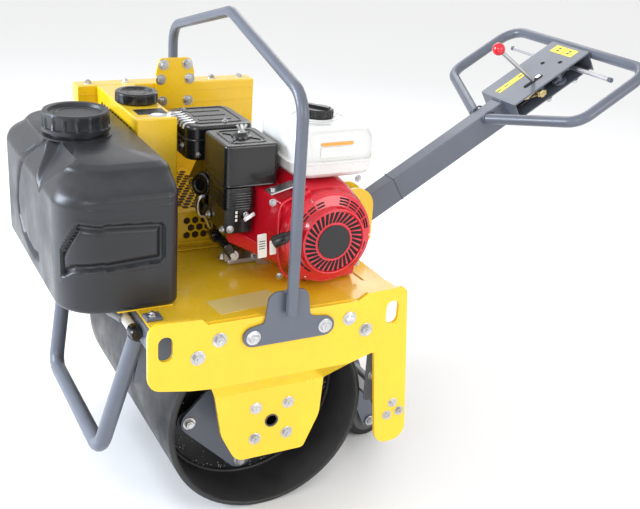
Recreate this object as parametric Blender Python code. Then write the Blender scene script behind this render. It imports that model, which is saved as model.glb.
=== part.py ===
"""Walk-behind single-drum road roller, modelled as separate pieces.

Units are metres. +X is the front of the machine, +Y its left side, +Z up.
Everything is placed from the drum: x = 0 is the drum's axle, y = 0 the middle of the drum and
z = 0 the ground. The empty "machine" then moves the whole roller so that the origin lies under
the middle of its outer box.
"""
import math

import bmesh
import bpy
from mathutils import Matrix, Vector

# ---------------------------------------------------------------- driving dimensions
GAP = 0.0003               # air between two pieces that touch
RUN = 0.0004               # radial clearance of a shaft in its bore
TUBE_FLAT = 0.0005         # the flats of a bent tube lie this far inside its radius

# drum
DRUM_RADIUS = 0.2125
DRUM_WIDTH = 0.590
SHELL = 0.012              # wall of the drum
WEB_INSET = 0.115          # from the drum's rim to the outer face of the welded web
WEB = 0.010
BUFFER_RADIUS = 0.024
BUFFER_LENGTH = 0.032
DRIVE_PLATE = 0.008        # grey plate on the buffers
PLATE_EDGE = 0.0205        # from a plate bolt to the plate's edge
PLATE_TURN = -45.0         # degrees, direction of the plate's short middle line
BOLT_SPREAD = 34.0         # degrees, half the angle between two plate bolts
BOLT_INSET = 0.0545        # from the shell's inside to a plate bolt
HUB_RADIUS = 0.048
HUB_LENGTH = 0.022
SHAFT_RADIUS = 0.022
FLANGE_RADIUS = 0.055
FLANGE = 0.010

# side plates
SHEET = 0.008              # thickness of the side plates
PLATE_OUT = 0.355          # outer face of the upper part
RIM_CLEAR = 0.006          # air between the drum's rim and the lower lobe
CREASE_LOW = 0.290         # height of the two creases of the joggle
CREASE_HIGH = 0.340
CREASE_FRONT = 0.150
CREASE_REAR = -0.145
LOBE_FRONT = 0.108         # widest ends of the lower lobe
LOBE_REAR = -0.108
LOBE_BOTTOM = 0.132
LOBE_FOOT = 0.075          # half length of the lobe's lower edge
LOBE_TAPER = 0.016         # added to it towards the front at the crease
DECK_EDGE = 0.476          # top edge between the raised ears
EAR_FRONT = 0.273
EAR_REAR = -0.264
EAR_LOW = 0.359
EAR_TOP = 0.493
EAR_SLOPE = 0.010          # length of the slope from an ear down to the edge
EAR_FRONT_END = 0.170
EAR_REAR_END = -0.174
LEG_FRONT = -0.200
LEG_REAR = -0.295
LEG_BOTTOM = 0.130
SLOT_X = (0.240, -0.234)
SLOT_Z = 0.439
SLOT_WIDTH = 0.028
SLOT_HEIGHT = 0.050

# deck and cross members
DECK_TOP = 0.478
DECK = 0.006
DECK_FRONT = 0.262
DECK_REAR = -0.205
TAB_REAR = -0.257          # corner tabs that reach the legs
TAB_WIDTH = 0.070
BAR = 0.044                # front angle bar
BAR_SHEET = 0.006
BAR_BACK = 0.222
BAR_TOP = 0.462
BEAM_FRONT = -0.216        # rear cross member
BEAM_DEPTH = 0.046
BEAM_LOW = 0.352
BEAM_HIGH = 0.436
BEAM_WALL = 0.006

# front guard, a bent tube
GUARD_RADIUS = 0.0165
GUARD_X = 0.320
GUARD_Z = 0.147
GUARD_HALF = 0.190
GUARD_TOP_HALF = 0.258
GUARD_BEND = 0.040
GUSSET = 0.006
GUSSET_LENGTH = 0.110

# lifting hoop
HOOP_RADIUS = 0.011
HOOP_APEX_Z = 0.983
HOOP_SHOULDER_Z = 0.895
HOOP_BEND = 0.055
BRACKET = 0.006
HOOP_FOOT_Z = 0.478
FOOT_FRONT = 0.071         # bolts of the hoop's left foot plate
FOOT_REAR = -0.079
FOOT_Z = 0.4375
FOOT_LUG = 0.0205
TONGUE_HALF = 0.046        # half width of the right fixing plate

# belt guard on the right
GUARD_BOX_IN = -0.300
GUARD_BOX_FRONT = 0.225
GUARD_BOX_REAR = -0.200
GUARD_BOX_TOP = 0.767
COVER = 0.003              # sheet of the covers

# hydraulic oil tank and pump guard
OIL_FRONT = 0.182
OIL_REAR = 0.096
OIL_LEFT = 0.0
OIL_TOP = 0.767
OIL_CAP_X = 0.139
OIL_CAP_Y = -0.141
OIL_CAP_RADIUS = 0.045
OIL_CAP_HEIGHT = 0.024
PUMP_REAR = -0.028
PUMP_TOP = 0.560

# engine
CRANK_X = -0.119
CRANK_RISE = 0.106         # crankshaft above the deck
ENGINE_RIGHT = -0.060
ENGINE_LEFT = 0.135
SHROUD_LEFT = 0.250
RECOIL_LEFT = 0.300
RECOIL_RADIUS = 0.095
CYLINDER_TILT = 25.0
CYLINDER_REACH = 0.165     # from the crankshaft to the head's face
CYLINDER_HALF = 0.048
CYLINDER_BACK = -0.030
FUEL_FRONT = -0.057
FUEL_REAR = -0.236
FUEL_RIGHT = 0.045
FUEL_LEFT = 0.245
FUEL_BOTTOM = 0.690
FUEL_TOP = 0.792
FUEL_SEAM = 0.731
FUEL_LIP = 0.009
FUEL_CAP_RADIUS = 0.031
CLEANER_FRONT = 0.066
CLEANER_REAR = -0.045
CLEANER_RIGHT = 0.068
CLEANER_LEFT = 0.190
CLEANER_TOP = 0.757
CLEANER_STEP = 0.672
CLEANER_BOTTOM = 0.577
MUFFLER_FRONT = 0.086
MUFFLER_REAR = -0.062
MUFFLER_RIGHT = -0.125
MUFFLER_LEFT = 0.034
MUFFLER_TOP = 0.755
MUFFLER_BOTTOM = 0.680

# water tank
TANK_FRONT = 0.400
TANK_REAR = 0.1835
TANK_HALF = 0.272
TANK_BOTTOM = 0.482
TANK_TOP = 0.752
TANK_WALL = 0.005
NECK_X = 0.303
NECK_RADIUS = 0.0555
CAP_RADIUS = 0.066
CAP_TOP = 0.796
SHELF_HALF = 0.262
SHELF_INSET = 0.100        # shelf's front edge behind the tank's

# spray pipe
PIPE_RADIUS = 0.010
PIPE_HALF = 0.295
PIPE_Z = 0.450

# rear scraper and support roller
BLADE_GAP = 0.006
BLADE = 0.006
BLADE_DEPTH = 0.026
BLADE_Z = 0.225
HANGER = 0.005
HANGER_OUT = 0.3025
HANGER_SET = 0.0025        # hanger's top behind the front of the beam
ROLLER_RADIUS = 0.050
ROLLER_X = -0.330
ROLLER_HALF = 0.140
STUB_RADIUS = 0.008
ARM = 0.006
ARM_GAP = 0.007
CROSS_X = -0.268
CROSS_Z = 0.207
CROSS_RADIUS = 0.0135

# handle
HANDLE_TILT = 30.5
PIVOT_X = -0.318
PIVOT_Z = 0.520
LUG_RADIUS = 0.047
LUG = 0.008
LUG_GAP = 0.0008
PIN_RADIUS = 0.008
BEAM_W = 0.040             # width of the handle's square tube
BEAM_UP = 0.0133           # its faces, above and below the pivot
BEAM_DOWN = 0.0467
BEAM_END = 0.452
CONSOLE_LENGTH = 0.232
CONSOLE_HALF = 0.067
CONSOLE_TOP = 0.018
CONSOLE_DEPTH = 0.050
CONSOLE_SHEET = 0.004
ROD_RADIUS = 0.0055        # cross rod of the travel control
ROD_HALF = 0.185
ROD_INSET = 0.045
ROD_DEPTH = 0.020
LEVER_RADIUS = 0.005
LEVER_SET = 0.088          # lever's foot from the console's front
LEVER_Y = 0.030
LEVER_REACH = (0.045, -0.010, 0.105)
KNOB_RADIUS = 0.015
LOOP_RADIUS = 0.0125
LOOP_HALF = 0.250
LOOP_START = 0.397
LOOP_CORNER = 0.487
LOOP_HEIGHT = 0.0033
LOOP_BEND = 0.048

# ---------------------------------------------------------------- places worked out from them
AXLE_Z = DRUM_RADIUS
HALF = DRUM_WIDTH / 2
WEB_Y = HALF - WEB_INSET
BOLT_REACH = DRUM_RADIUS - SHELL - BOLT_INSET
LOBE_OUT = HALF + RIM_CLEAR + SHEET
PLATE_IN = PLATE_OUT - SHEET
INNER_HALF = PLATE_IN - GAP            # half length of what fits between the side plates
DECK_LOW = DECK_TOP - DECK
ON_DECK = DECK_TOP + GAP
CRANK_Z = DECK_TOP + CRANK_RISE
HOOP_NEAR_Y = PLATE_OUT + GAP + BRACKET + GAP + HOOP_RADIUS
HOOP_FAR_Y = GUARD_BOX_IN - HOOP_RADIUS
BEAM_BACK = BEAM_FRONT - BEAM_DEPTH
LOOP_END = BEAM_END + CONSOLE_LENGTH + LOOP_RADIUS + GAP
BLADE_FRONT = -(DRUM_RADIUS + BLADE_GAP)
HANGER_FRONT = BEAM_FRONT - HANGER_SET

COS_TILT = math.cos(math.radians(HANDLE_TILT))
SIN_TILT = math.sin(math.radians(HANDLE_TILT))
REAR_END = PIVOT_X - LOOP_END * COS_TILT + LOOP_HEIGHT * SIN_TILT - LOOP_RADIUS
MIDDLE_X = (TANK_FRONT + REAR_END) / 2
MIDDLE_Y = (HOOP_NEAR_Y + HOOP_RADIUS - PLATE_OUT) / 2


# ---------------------------------------------------------------- scene helpers
def clear_scene():
    for old in list(bpy.data.objects):
        bpy.data.objects.remove(old, do_unlink=True)


def paint(name, colour, roughness, metallic=0.0):
    """A plain Principled material."""
    made = bpy.data.materials.new(name)
    made.use_nodes = True
    shader = made.node_tree.nodes["Principled BSDF"]
    shader.inputs["Base Color"].default_value = (*colour, 1.0)
    shader.inputs["Roughness"].default_value = roughness
    shader.inputs["Metallic"].default_value = metallic
    made.diffuse_color = (*colour, 1.0)
    return made


def empty(name, place=(0, 0, 0), tilt=0.0, parent=None):
    """A pivot: pieces under it turn about its Y axis."""
    pivot = bpy.data.objects.new(name, None)
    pivot.location = place
    pivot.rotation_euler = (0, math.radians(tilt), 0)
    pivot.parent = parent
    bpy.context.scene.collection.objects.link(pivot)
    return pivot


def add(name, data, material, pivot, offset=(0, 0, 0)):
    """Put finished geometry in the scene under a pivot."""
    piece = bpy.data.objects.new(name, data)
    data.materials.append(material)
    piece.location = offset
    piece.parent = pivot
    bpy.context.scene.collection.objects.link(piece)
    return piece


def mesh_from(shape, name, smooth=True, turn=30):
    """A bmesh becomes a mesh with its faces pointing out."""
    bmesh.ops.recalc_face_normals(shape, faces=shape.faces)
    data = bpy.data.meshes.new(name)
    shape.to_mesh(data)
    shape.free()
    if smooth:
        data.shade_smooth()
        data.set_sharp_from_angle(angle=math.radians(turn))
    return data


# ---------------------------------------------------------------- outlines
def rounded(corners, steps=4):
    """An outline with round corners, from (u, v, radius) corners in order."""
    line = []
    count = len(corners)
    for index, (u, v, radius) in enumerate(corners):
        here = Vector((u, v))
        before = Vector(corners[index - 1][:2]) - here
        after = Vector(corners[(index + 1) % count][:2]) - here
        if radius <= 0:
            line.append(here)
            continue
        opening = before.angle(after)
        reach = radius / math.tan(opening / 2)
        start = here + before.normalized() * reach
        middle = (before.normalized() + after.normalized()).normalized()
        centre = here + middle * (radius / math.sin(opening / 2))
        sweep = math.pi - opening
        side = 1 if before.x * after.y - before.y * after.x < 0 else -1
        spoke = start - centre
        for step in range(steps + 1):
            turn = side * sweep * step / steps
            line.append(centre + Matrix.Rotation(turn, 2) @ spoke)
    return [(point.x, point.y) for point in line]


def box_outline(u_low, v_low, u_high, v_high, radius=0.0, steps=4):
    corners = [(u_low, v_low, radius), (u_high, v_low, radius)]
    corners += [(u_high, v_high, radius), (u_low, v_high, radius)]
    return rounded(corners, steps)


def arc(centre, radius, start, end, steps):
    """Points on a circle, with both ends, angles in degrees."""
    turns = [math.radians(start + (end - start) * step / steps) for step in range(steps + 1)]
    return [(centre[0] + radius * math.cos(t), centre[1] + radius * math.sin(t)) for t in turns]


TO_SPACE = {
    "x": lambda u, v, w: (w, u, v),
    "y": lambda u, v, w: (u, w, v),
    "z": lambda u, v, w: (u, v, w),
}


def prism(outline, axis, low, high):
    """A bmesh: the outline pushed along an axis from low to high."""
    shape = bmesh.new()
    place = TO_SPACE[axis]
    ring = [shape.verts.new(place(u, v, low)) for u, v in outline]
    base = shape.faces.new(ring)
    grown = bmesh.ops.extrude_face_region(shape, geom=[base])
    moved = [item for item in grown["geom"] if isinstance(item, bmesh.types.BMVert)]
    bmesh.ops.translate(shape, verts=moved, vec=place(0, 0, high - low))
    return shape


def lathe(profile, sides, axis="y"):
    """A bmesh turned about an axis, from (radius, height) points from one end to the other."""
    shape = bmesh.new()
    place = TO_SPACE[axis]
    rings = []
    for radius, height in profile:
        if radius == 0:
            rings.append([shape.verts.new(place(0, 0, height))])
            continue
        turns = [2 * math.pi * side / sides for side in range(sides)]
        spots = [(radius * math.cos(t), radius * math.sin(t)) for t in turns]
        rings.append([shape.verts.new(place(u, v, height)) for u, v in spots])
    for lower, upper in zip(rings, rings[1:]):
        join_rings(shape, lower, upper)
    if profile[0] == profile[-1]:
        bmesh.ops.remove_doubles(shape, verts=shape.verts, dist=1e-6)
        return shape
    for end in (rings[0], rings[-1]):
        if len(end) > 1:
            shape.faces.new(end)
    return shape


def join_rings(shape, lower, upper):
    count = max(len(lower), len(upper))
    for side in range(count):
        after = (side + 1) % count
        if len(lower) == 1:
            shape.faces.new((lower[0], upper[side], upper[after]))
        elif len(upper) == 1:
            shape.faces.new((lower[side], upper[0], lower[after]))
        else:
            shape.faces.new((lower[side], upper[side], upper[after], lower[after]))


def bent(points, radius, steps=5):
    """A path through the points with its inner corners bent to a radius."""
    points = [Vector(point) for point in points]
    path = [points[0]]
    for before, here, after in zip(points, points[1:], points[2:]):
        back = (before - here).normalized()
        on = (after - here).normalized()
        opening = back.angle(on)
        reach = radius / math.tan(opening / 2)
        centre = here + (back + on).normalized() * (radius / math.sin(opening / 2))
        axis = back.cross(on).normalized()
        spoke = here + back * reach - centre
        for step in range(steps + 1):
            turn = -(math.pi - opening) * step / steps
            path.append(centre + Matrix.Rotation(turn, 3, axis) @ spoke)
    path.append(points[-1])
    return path


# ---------------------------------------------------------------- pieces from those shapes
def plate(name, outline, axis, low, high, material, pivot, bevel=0.0):
    """A flat piece: an outline pushed along an axis."""
    piece = add(name, mesh_from(prism(outline, axis, low, high), name), material, pivot)
    if bevel:
        soften(piece, bevel)
    return piece


def turned(name, profile, place, material, pivot, sides=32, axis="y"):
    """A turned piece with its axis through place."""
    return add(name, mesh_from(lathe(profile, sides, axis), name), material, pivot, place)


def tube(name, path, radius, material, pivot, rounds=4):
    """A round bar along a path, with flat ends."""
    data = bpy.data.curves.new(name, "CURVE")
    data.dimensions = "3D"
    line = data.splines.new("POLY")
    line.points.add(len(path) - 1)
    for point, spot in zip(line.points, path):
        point.co = (*spot, 1.0)
    data.bevel_depth = radius
    data.bevel_resolution = rounds
    data.use_fill_caps = True
    return add(name, data, material, pivot)


def soften(piece, width, segments=2, limit=35):
    bevel = piece.modifiers.new("soft_edges", "BEVEL")
    bevel.width = width
    bevel.segments = segments
    bevel.limit_method = "ANGLE"
    bevel.angle_limit = math.radians(limit)
    return bevel


def cutter(name, shape, pivot, offset=(0, 0, 0)):
    """A tool shape that is not part of the machine."""
    tool = bpy.data.objects.new(name, mesh_from(shape, name, smooth=False))
    tool.location = offset
    tool.parent = pivot
    tool.hide_render = True
    tool.display_type = "WIRE"
    bpy.context.scene.collection.objects.link(tool)
    return tool


def combine(piece, tool, operation="DIFFERENCE"):
    change = piece.modifiers.new(tool.name, "BOOLEAN")
    change.operation = operation
    change.solver = "EXACT"
    change.object = tool


def drill(piece, tool_name, radius, axis, low, high, place, pivot, sides=24):
    """A round hole through a piece."""
    profile = [(radius, low), (radius, high)]
    combine(piece, cutter(tool_name, lathe(profile, sides, axis), pivot, place))


def sheet_cover(name, outline, axis, low, high, open_side, material, pivot, bevel=0.004, wall=COVER):
    """A pressed cover: an outline pushed along an axis, hollow and open on one side."""
    shape = prism(outline, axis, low, high)
    bmesh.ops.recalc_face_normals(shape, faces=shape.faces)
    if bevel:
        bend = [edge for edge in shape.edges if edge.calc_face_angle(0) > math.radians(35)]
        bmesh.ops.bevel(shape, geom=bend, offset=bevel, segments=2, profile=0.5, affect="EDGES",
                        clamp_overlap=True)
    facing = Vector(open_side)
    gone = [face for face in shape.faces if face.normal.dot(facing) > 0.999]
    bmesh.ops.delete(shape, geom=gone, context="FACES")
    piece = add(name, mesh_from(shape, name), material, pivot)
    walls = piece.modifiers.new("wall", "SOLIDIFY")
    walls.thickness = wall
    walls.offset = -1
    walls.use_even_offset = True
    return piece


# ---------------------------------------------------------------- drum
def make_drum(pivot, colour):
    inner = DRUM_RADIUS - SHELL
    edge = 0.003
    profile = [(inner, -HALF), (DRUM_RADIUS - edge, -HALF), (DRUM_RADIUS, -HALF + edge)]
    profile += [(DRUM_RADIUS, HALF - edge), (DRUM_RADIUS - edge, HALF), (inner, HALF), (inner, -HALF)]
    turned("drum_shell", profile, (0, 0, 0), colour["drum"], pivot, sides=72)
    for side, word in ((1, "left"), (-1, "right")):
        make_drum_end(side, word, pivot, colour)


def make_drum_end(side, word, pivot, colour):
    """Web with its buffers, drive plate and bearing hub at one end of the drum."""
    web_radius = DRUM_RADIUS - SHELL - GAP
    bore = SHAFT_RADIUS + RUN
    low, high = sorted((side * WEB_Y, side * (WEB_Y - WEB)))
    ring = [(bore, low), (web_radius, low), (web_radius, high), (bore, high), (bore, low)]
    web = turned(f"drum_web_{word}", ring, (0, 0, 0), colour["drum"], pivot, sides=72)

    buffer_high = WEB_Y + BUFFER_LENGTH
    low, high = sorted((side * (WEB_Y - WEB / 2), side * buffer_high))
    for number, (u, v) in enumerate(bolt_spots()):
        buffer = lathe([(BUFFER_RADIUS, low), (BUFFER_RADIUS, high)], 20)
        combine(web, cutter(f"buffer_{word}_{number}", buffer, pivot, (u, 0, v)), "UNION")

    plate_low = buffer_high + GAP
    plate_high = plate_low + DRIVE_PLATE
    half_long = BOLT_REACH * math.cos(math.radians(BOLT_SPREAD)) + PLATE_EDGE
    half_short = BOLT_REACH * math.sin(math.radians(BOLT_SPREAD)) + PLATE_EDGE
    outline = box_outline(-half_long, -half_short, half_long, half_short, 0.028)
    turn = Matrix.Rotation(math.radians(PLATE_TURN), 2)
    outline = [tuple(turn @ Vector(point)) for point in outline]
    low, high = sorted((side * plate_low, side * plate_high))
    body = plate(f"drive_plate_{word}", outline, "y", low, high, colour["grey"], pivot)
    drill(body, f"drive_plate_bore_{word}", bore, "y", low - 0.01, high + 0.01, (0, 0, 0), pivot, 32)

    hub_low = plate_high + GAP
    hub_high = hub_low + HUB_LENGTH
    low, high = sorted((side * hub_low, side * hub_high))
    ring = [(bore, low), (HUB_RADIUS, low), (HUB_RADIUS, high), (bore, high), (bore, low)]
    turned(f"drum_hub_{word}", ring, (0, 0, 0), colour["iron"], pivot)


def bolt_spots():
    """The four bolts of the drive plate, on one circle about the axle."""
    turns = []
    for base in (PLATE_TURN, PLATE_TURN + 180):
        turns += [base - BOLT_SPREAD, base + BOLT_SPREAD]
    reach = [(math.cos(math.radians(t)), math.sin(math.radians(t))) for t in turns]
    return [(BOLT_REACH * u, BOLT_REACH * v) for u, v in reach]


# ---------------------------------------------------------------- frame
def side_plate_shape():
    """Left side plate: upper plate with leg, joggle and lower lobe, as an outer skin."""
    leg_corner = (LEG_FRONT - 0.022, LEG_BOTTOM, 0.030)
    upper = [
        (CREASE_FRONT, CREASE_HIGH, 0), (CREASE_FRONT + 0.042, CREASE_HIGH + 0.004, 0.02),
        (EAR_FRONT, EAR_LOW, 0.026), (EAR_FRONT, EAR_TOP, 0.026),
        (EAR_FRONT_END, EAR_TOP - 0.005, 0.006), (EAR_FRONT_END - EAR_SLOPE, DECK_EDGE, 0.004),
        (EAR_REAR_END + EAR_SLOPE * 2, DECK_EDGE, 0.010), (EAR_REAR_END, EAR_TOP - 0.004, 0.010),
        (EAR_REAR, EAR_TOP, 0.018), (LEG_REAR, LEG_BOTTOM + 0.004, 0.030),
        leg_corner, (LEG_FRONT, CREASE_HIGH + 0.016, 0.006), (CREASE_REAR, CREASE_HIGH, 0),
    ]
    waist = (LOBE_BOTTOM + CREASE_LOW) / 2 - 0.010
    lobe = [
        (LOBE_REAR - 0.005, CREASE_LOW, 0), (LOBE_REAR, waist + 0.005, 0.060),
        (-LOBE_FOOT, LOBE_BOTTOM, 0.012), (LOBE_FOOT, LOBE_BOTTOM, 0.030),
        (LOBE_FRONT, waist - 0.003, 0.060), (LOBE_FRONT + LOBE_TAPER, CREASE_LOW, 0),
    ]
    shape = bmesh.new()
    outer = rounded(upper, 4)
    low = rounded(lobe, 4)
    top_ring = [shape.verts.new((u, PLATE_OUT, v)) for u, v in outer]
    low_ring = [shape.verts.new((u, LOBE_OUT, v)) for u, v in low]
    shape.faces.new(top_ring)
    shape.faces.new(low_ring)
    shape.faces.new((top_ring[-1], top_ring[0], low_ring[-1], low_ring[0]))
    bmesh.ops.recalc_face_normals(shape, faces=shape.faces)
    if shape.faces[0].normal.y < 0:
        bmesh.ops.reverse_faces(shape, faces=shape.faces)
    return shape


def make_side_plates(pivot, colour):
    for side, word in ((1, "left"), (-1, "right")):
        shape = side_plate_shape()
        if side < 0:
            bmesh.ops.scale(shape, vec=(1, -1, 1), verts=shape.verts)
            bmesh.ops.reverse_faces(shape, faces=shape.faces)
        data = bpy.data.meshes.new(f"side_plate_{word}")
        shape.to_mesh(data)
        shape.free()
        piece = add(f"side_plate_{word}", data, colour["yellow"], pivot)
        walls = piece.modifiers.new("sheet", "SOLIDIFY")
        walls.thickness = SHEET
        walls.offset = -1
        walls.use_even_offset = True
        reach = 0.03
        low, high = sorted((side * (PLATE_IN - reach), side * (PLATE_OUT + reach)))
        for number, slot_x in enumerate(SLOT_X):
            half = SLOT_WIDTH / 2
            tall = SLOT_HEIGHT / 2
            ends = (slot_x - half, SLOT_Z - tall, slot_x + half, SLOT_Z + tall)
            hole = prism(box_outline(*ends, half * 0.98, 6), "y", low, high)
            combine(piece, cutter(f"slot_{word}_{number}", hole, pivot))
        low, high = sorted((side * (HALF - 0.01), side * (LOBE_OUT + reach)))
        drill(piece, f"axle_hole_{word}", 0.014, "y", low, high, (0, 0, AXLE_Z), pivot)


def make_axles(pivot, colour):
    """Flanged stub axles, bolted to the inside of the lobes."""
    flange_high = LOBE_OUT - SHEET - GAP
    for side, word in ((1, "left"), (-1, "right")):
        tip = WEB_Y - WEB
        points = [(0, tip), (SHAFT_RADIUS, tip), (SHAFT_RADIUS, flange_high - FLANGE)]
        points += [(FLANGE_RADIUS, flange_high - FLANGE), (FLANGE_RADIUS, flange_high), (0, flange_high)]
        profile = [(radius, side * height) for radius, height in points]
        turned(f"axle_{word}", profile, (0, 0, AXLE_Z), colour["iron"], pivot)


def make_deck(pivot, colour):
    inner = INNER_HALF
    tab = inner - TAB_WIDTH
    outline = [
        (DECK_FRONT, -inner, 0), (DECK_FRONT, inner, 0), (TAB_REAR, inner, 0.004),
        (TAB_REAR, tab, 0.024), (DECK_REAR, tab, 0.010), (DECK_REAR, -tab, 0.010),
        (TAB_REAR, -tab, 0.024), (TAB_REAR, -inner, 0.004),
    ]
    plate("deck_plate", rounded(outline), "z", DECK_LOW, DECK_TOP, colour["yellow"], pivot)


def make_cross_members(pivot, colour):
    """Front angle bar with the spray pipe on it, and the rear channel between the legs."""
    front = BAR_BACK + BAR
    high = DECK_LOW - GAP
    low = high - BAR
    angle = [(BAR_BACK, high, 0), (BAR_BACK, high - BAR_SHEET, 0)]
    angle += [(front - BAR_SHEET, high - BAR_SHEET, 0.003), (front - BAR_SHEET, low, 0)]
    angle += [(front, low, 0), (front, high, 0.006)]
    plate("front_bar", rounded(angle), "y", -INNER_HALF, INNER_HALF, colour["grey"], pivot)
    high = DECK_LOW - GAP
    wall = BEAM_WALL
    channel = [(BEAM_FRONT, high, 0.004), (BEAM_FRONT, BEAM_LOW, 0.004), (BEAM_BACK, BEAM_LOW, 0)]
    channel += [(BEAM_BACK, BEAM_LOW + wall, 0), (BEAM_FRONT - wall, BEAM_LOW + wall, 0)]
    channel += [(BEAM_FRONT - wall, high - wall, 0), (BEAM_BACK, high - wall, 0), (BEAM_BACK, high, 0)]
    plate("rear_beam", rounded(channel), "y", -INNER_HALF, INNER_HALF, colour["yellow"], pivot)
    profile = [(PIPE_RADIUS, -PIPE_HALF), (PIPE_RADIUS, PIPE_HALF)]
    place = (front + GAP + PIPE_RADIUS, 0, PIPE_Z)
    turned("spray_pipe", profile, place, colour["white"], pivot, 20)


def make_front_guard(pivot, colour):
    """Bent tube ahead of the drum, with gussets up to the front bar."""
    bar_low = DECK_LOW - GAP - BAR
    top = Vector((BAR_BACK + BAR - BAR_SHEET / 2, GUARD_TOP_HALF, bar_low))
    foot = Vector((GUARD_X, GUARD_HALF, GUARD_Z))
    lean = (top - foot).normalized()
    top -= lean * (GAP - TUBE_FLAT + GUARD_RADIUS * math.hypot(lean.x, lean.y)) / lean.z
    points = [top, foot, Vector((foot.x, -foot.y, foot.z)), Vector((top.x, -top.y, top.z))]
    tube("front_guard", bent(points, GUARD_BEND), GUARD_RADIUS, colour["grey"], pivot)
    high = bar_low - GAP
    low = high - GUSSET_LENGTH
    behind = GUARD_RADIUS / abs(lean.z) - TUBE_FLAT
    middle = foot + lean * ((high - GUSSET_LENGTH / 2 - foot.z) / lean.z)
    edge = [(foot.x + lean.x * (z - foot.z) / lean.z - behind, z) for z in (low, high)]
    outline = [(BAR_BACK, high), (BAR_BACK, high - 0.020), (edge[0][0] - 0.012, low)] + edge
    for side, word in ((1, "left"), (-1, "right")):
        ends = sorted((side * (middle.y - GUSSET / 2), side * (middle.y + GUSSET / 2)))
        plate(f"guard_gusset_{word}", outline, "y", *ends, colour["grey"], pivot)


def make_hoop(pivot, colour):
    low = HOOP_FOOT_Z
    apex_y = (HOOP_NEAR_Y + HOOP_FAR_Y) / 2
    far_low = GUARD_BOX_TOP + GAP
    near = [(0, HOOP_NEAR_Y, low), (0, HOOP_NEAR_Y, HOOP_SHOULDER_Z)]
    far = [(0, HOOP_FAR_Y, HOOP_SHOULDER_Z), (0, HOOP_FAR_Y, far_low)]
    points = near + [(0, apex_y, HOOP_APEX_Z)] + far
    tube("lifting_hoop", bent(points, HOOP_BEND, 5), HOOP_RADIUS, colour["grey"], pivot)

    lug = FOOT_LUG
    root = HOOP_FOOT_Z - 0.016
    shoulder = HOOP_FOOT_Z + HOOP_RADIUS * 2 + 0.002
    outline = arc((FOOT_FRONT, FOOT_Z), lug, -90, 80, 8)
    outline += [(FOOT_FRONT - lug, root), (FOOT_FRONT - lug - 0.003, root + 0.008)]
    outline += arc((HOOP_RADIUS * 2, shoulder), HOOP_RADIUS * 2, 20, 80, 4)
    outline += arc((-HOOP_RADIUS * 2 + 0.002, shoulder), HOOP_RADIUS * 2, 100, 160, 4)
    outline += [(FOOT_REAR + lug + 0.013, root + 0.008), (FOOT_REAR + lug + 0.006, root)]
    outline += arc((FOOT_REAR, FOOT_Z), lug, 100, 270, 8)
    low, high = PLATE_OUT + GAP, PLATE_OUT + GAP + BRACKET
    plate("hoop_bracket_left", outline, "y", low, high, colour["grey"], pivot)

    high = HOOP_FAR_Y + HOOP_RADIUS + GAP
    half_low, half_high = TONGUE_HALF, TONGUE_HALF - 0.008
    bottom, neck, top = GUARD_BOX_TOP - 0.061, GUARD_BOX_TOP + 0.023, GUARD_BOX_TOP + 0.057
    outline = [(-half_low, bottom, 0.006), (half_low, bottom, 0.006), (half_low, neck, 0.010)]
    outline += [(half_high, top, 0.012), (-half_high, top, 0.012), (-half_low, neck, 0.010)]
    plate("hoop_bracket_right", rounded(outline), "y", high, high + BRACKET, colour["yellow"], pivot)


# ---------------------------------------------------------------- covers and tanks
def make_belt_guard(pivot, colour):
    outline = box_outline(GUARD_BOX_REAR, ON_DECK, GUARD_BOX_FRONT, GUARD_BOX_TOP)
    sheet_cover("belt_guard", outline, "y", -INNER_HALF, GUARD_BOX_IN, (0, 0, -1), colour["yellow"],
                pivot, bevel=0.004)


def make_oil_tank(pivot, colour):
    right = GUARD_BOX_IN + GAP
    outline = box_outline(OIL_REAR, right, OIL_FRONT, OIL_LEFT)
    sheet_cover("oil_tank", outline, "z", ON_DECK, OIL_TOP, (0, 0, -1), colour["yellow"], pivot)
    cap = OIL_CAP_RADIUS
    low = OIL_TOP + GAP
    high = low + OIL_CAP_HEIGHT
    profile = [(0, low), (cap - 0.002, low), (cap, low + 0.004), (cap, high - 0.003)]
    profile += [(cap - 0.003, high), (cap - 0.011, high), (cap - 0.013, high - 0.004), (0, high - 0.004)]
    turned("oil_cap", profile, (OIL_CAP_X, OIL_CAP_Y, 0), colour["black"], pivot, 40, "z")
    outline = box_outline(PUMP_REAR, right, OIL_REAR - GAP, OIL_LEFT)
    sheet_cover("pump_guard", outline, "z", ON_DECK, PUMP_TOP, (0, 0, -1), colour["yellow"], pivot)


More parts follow.
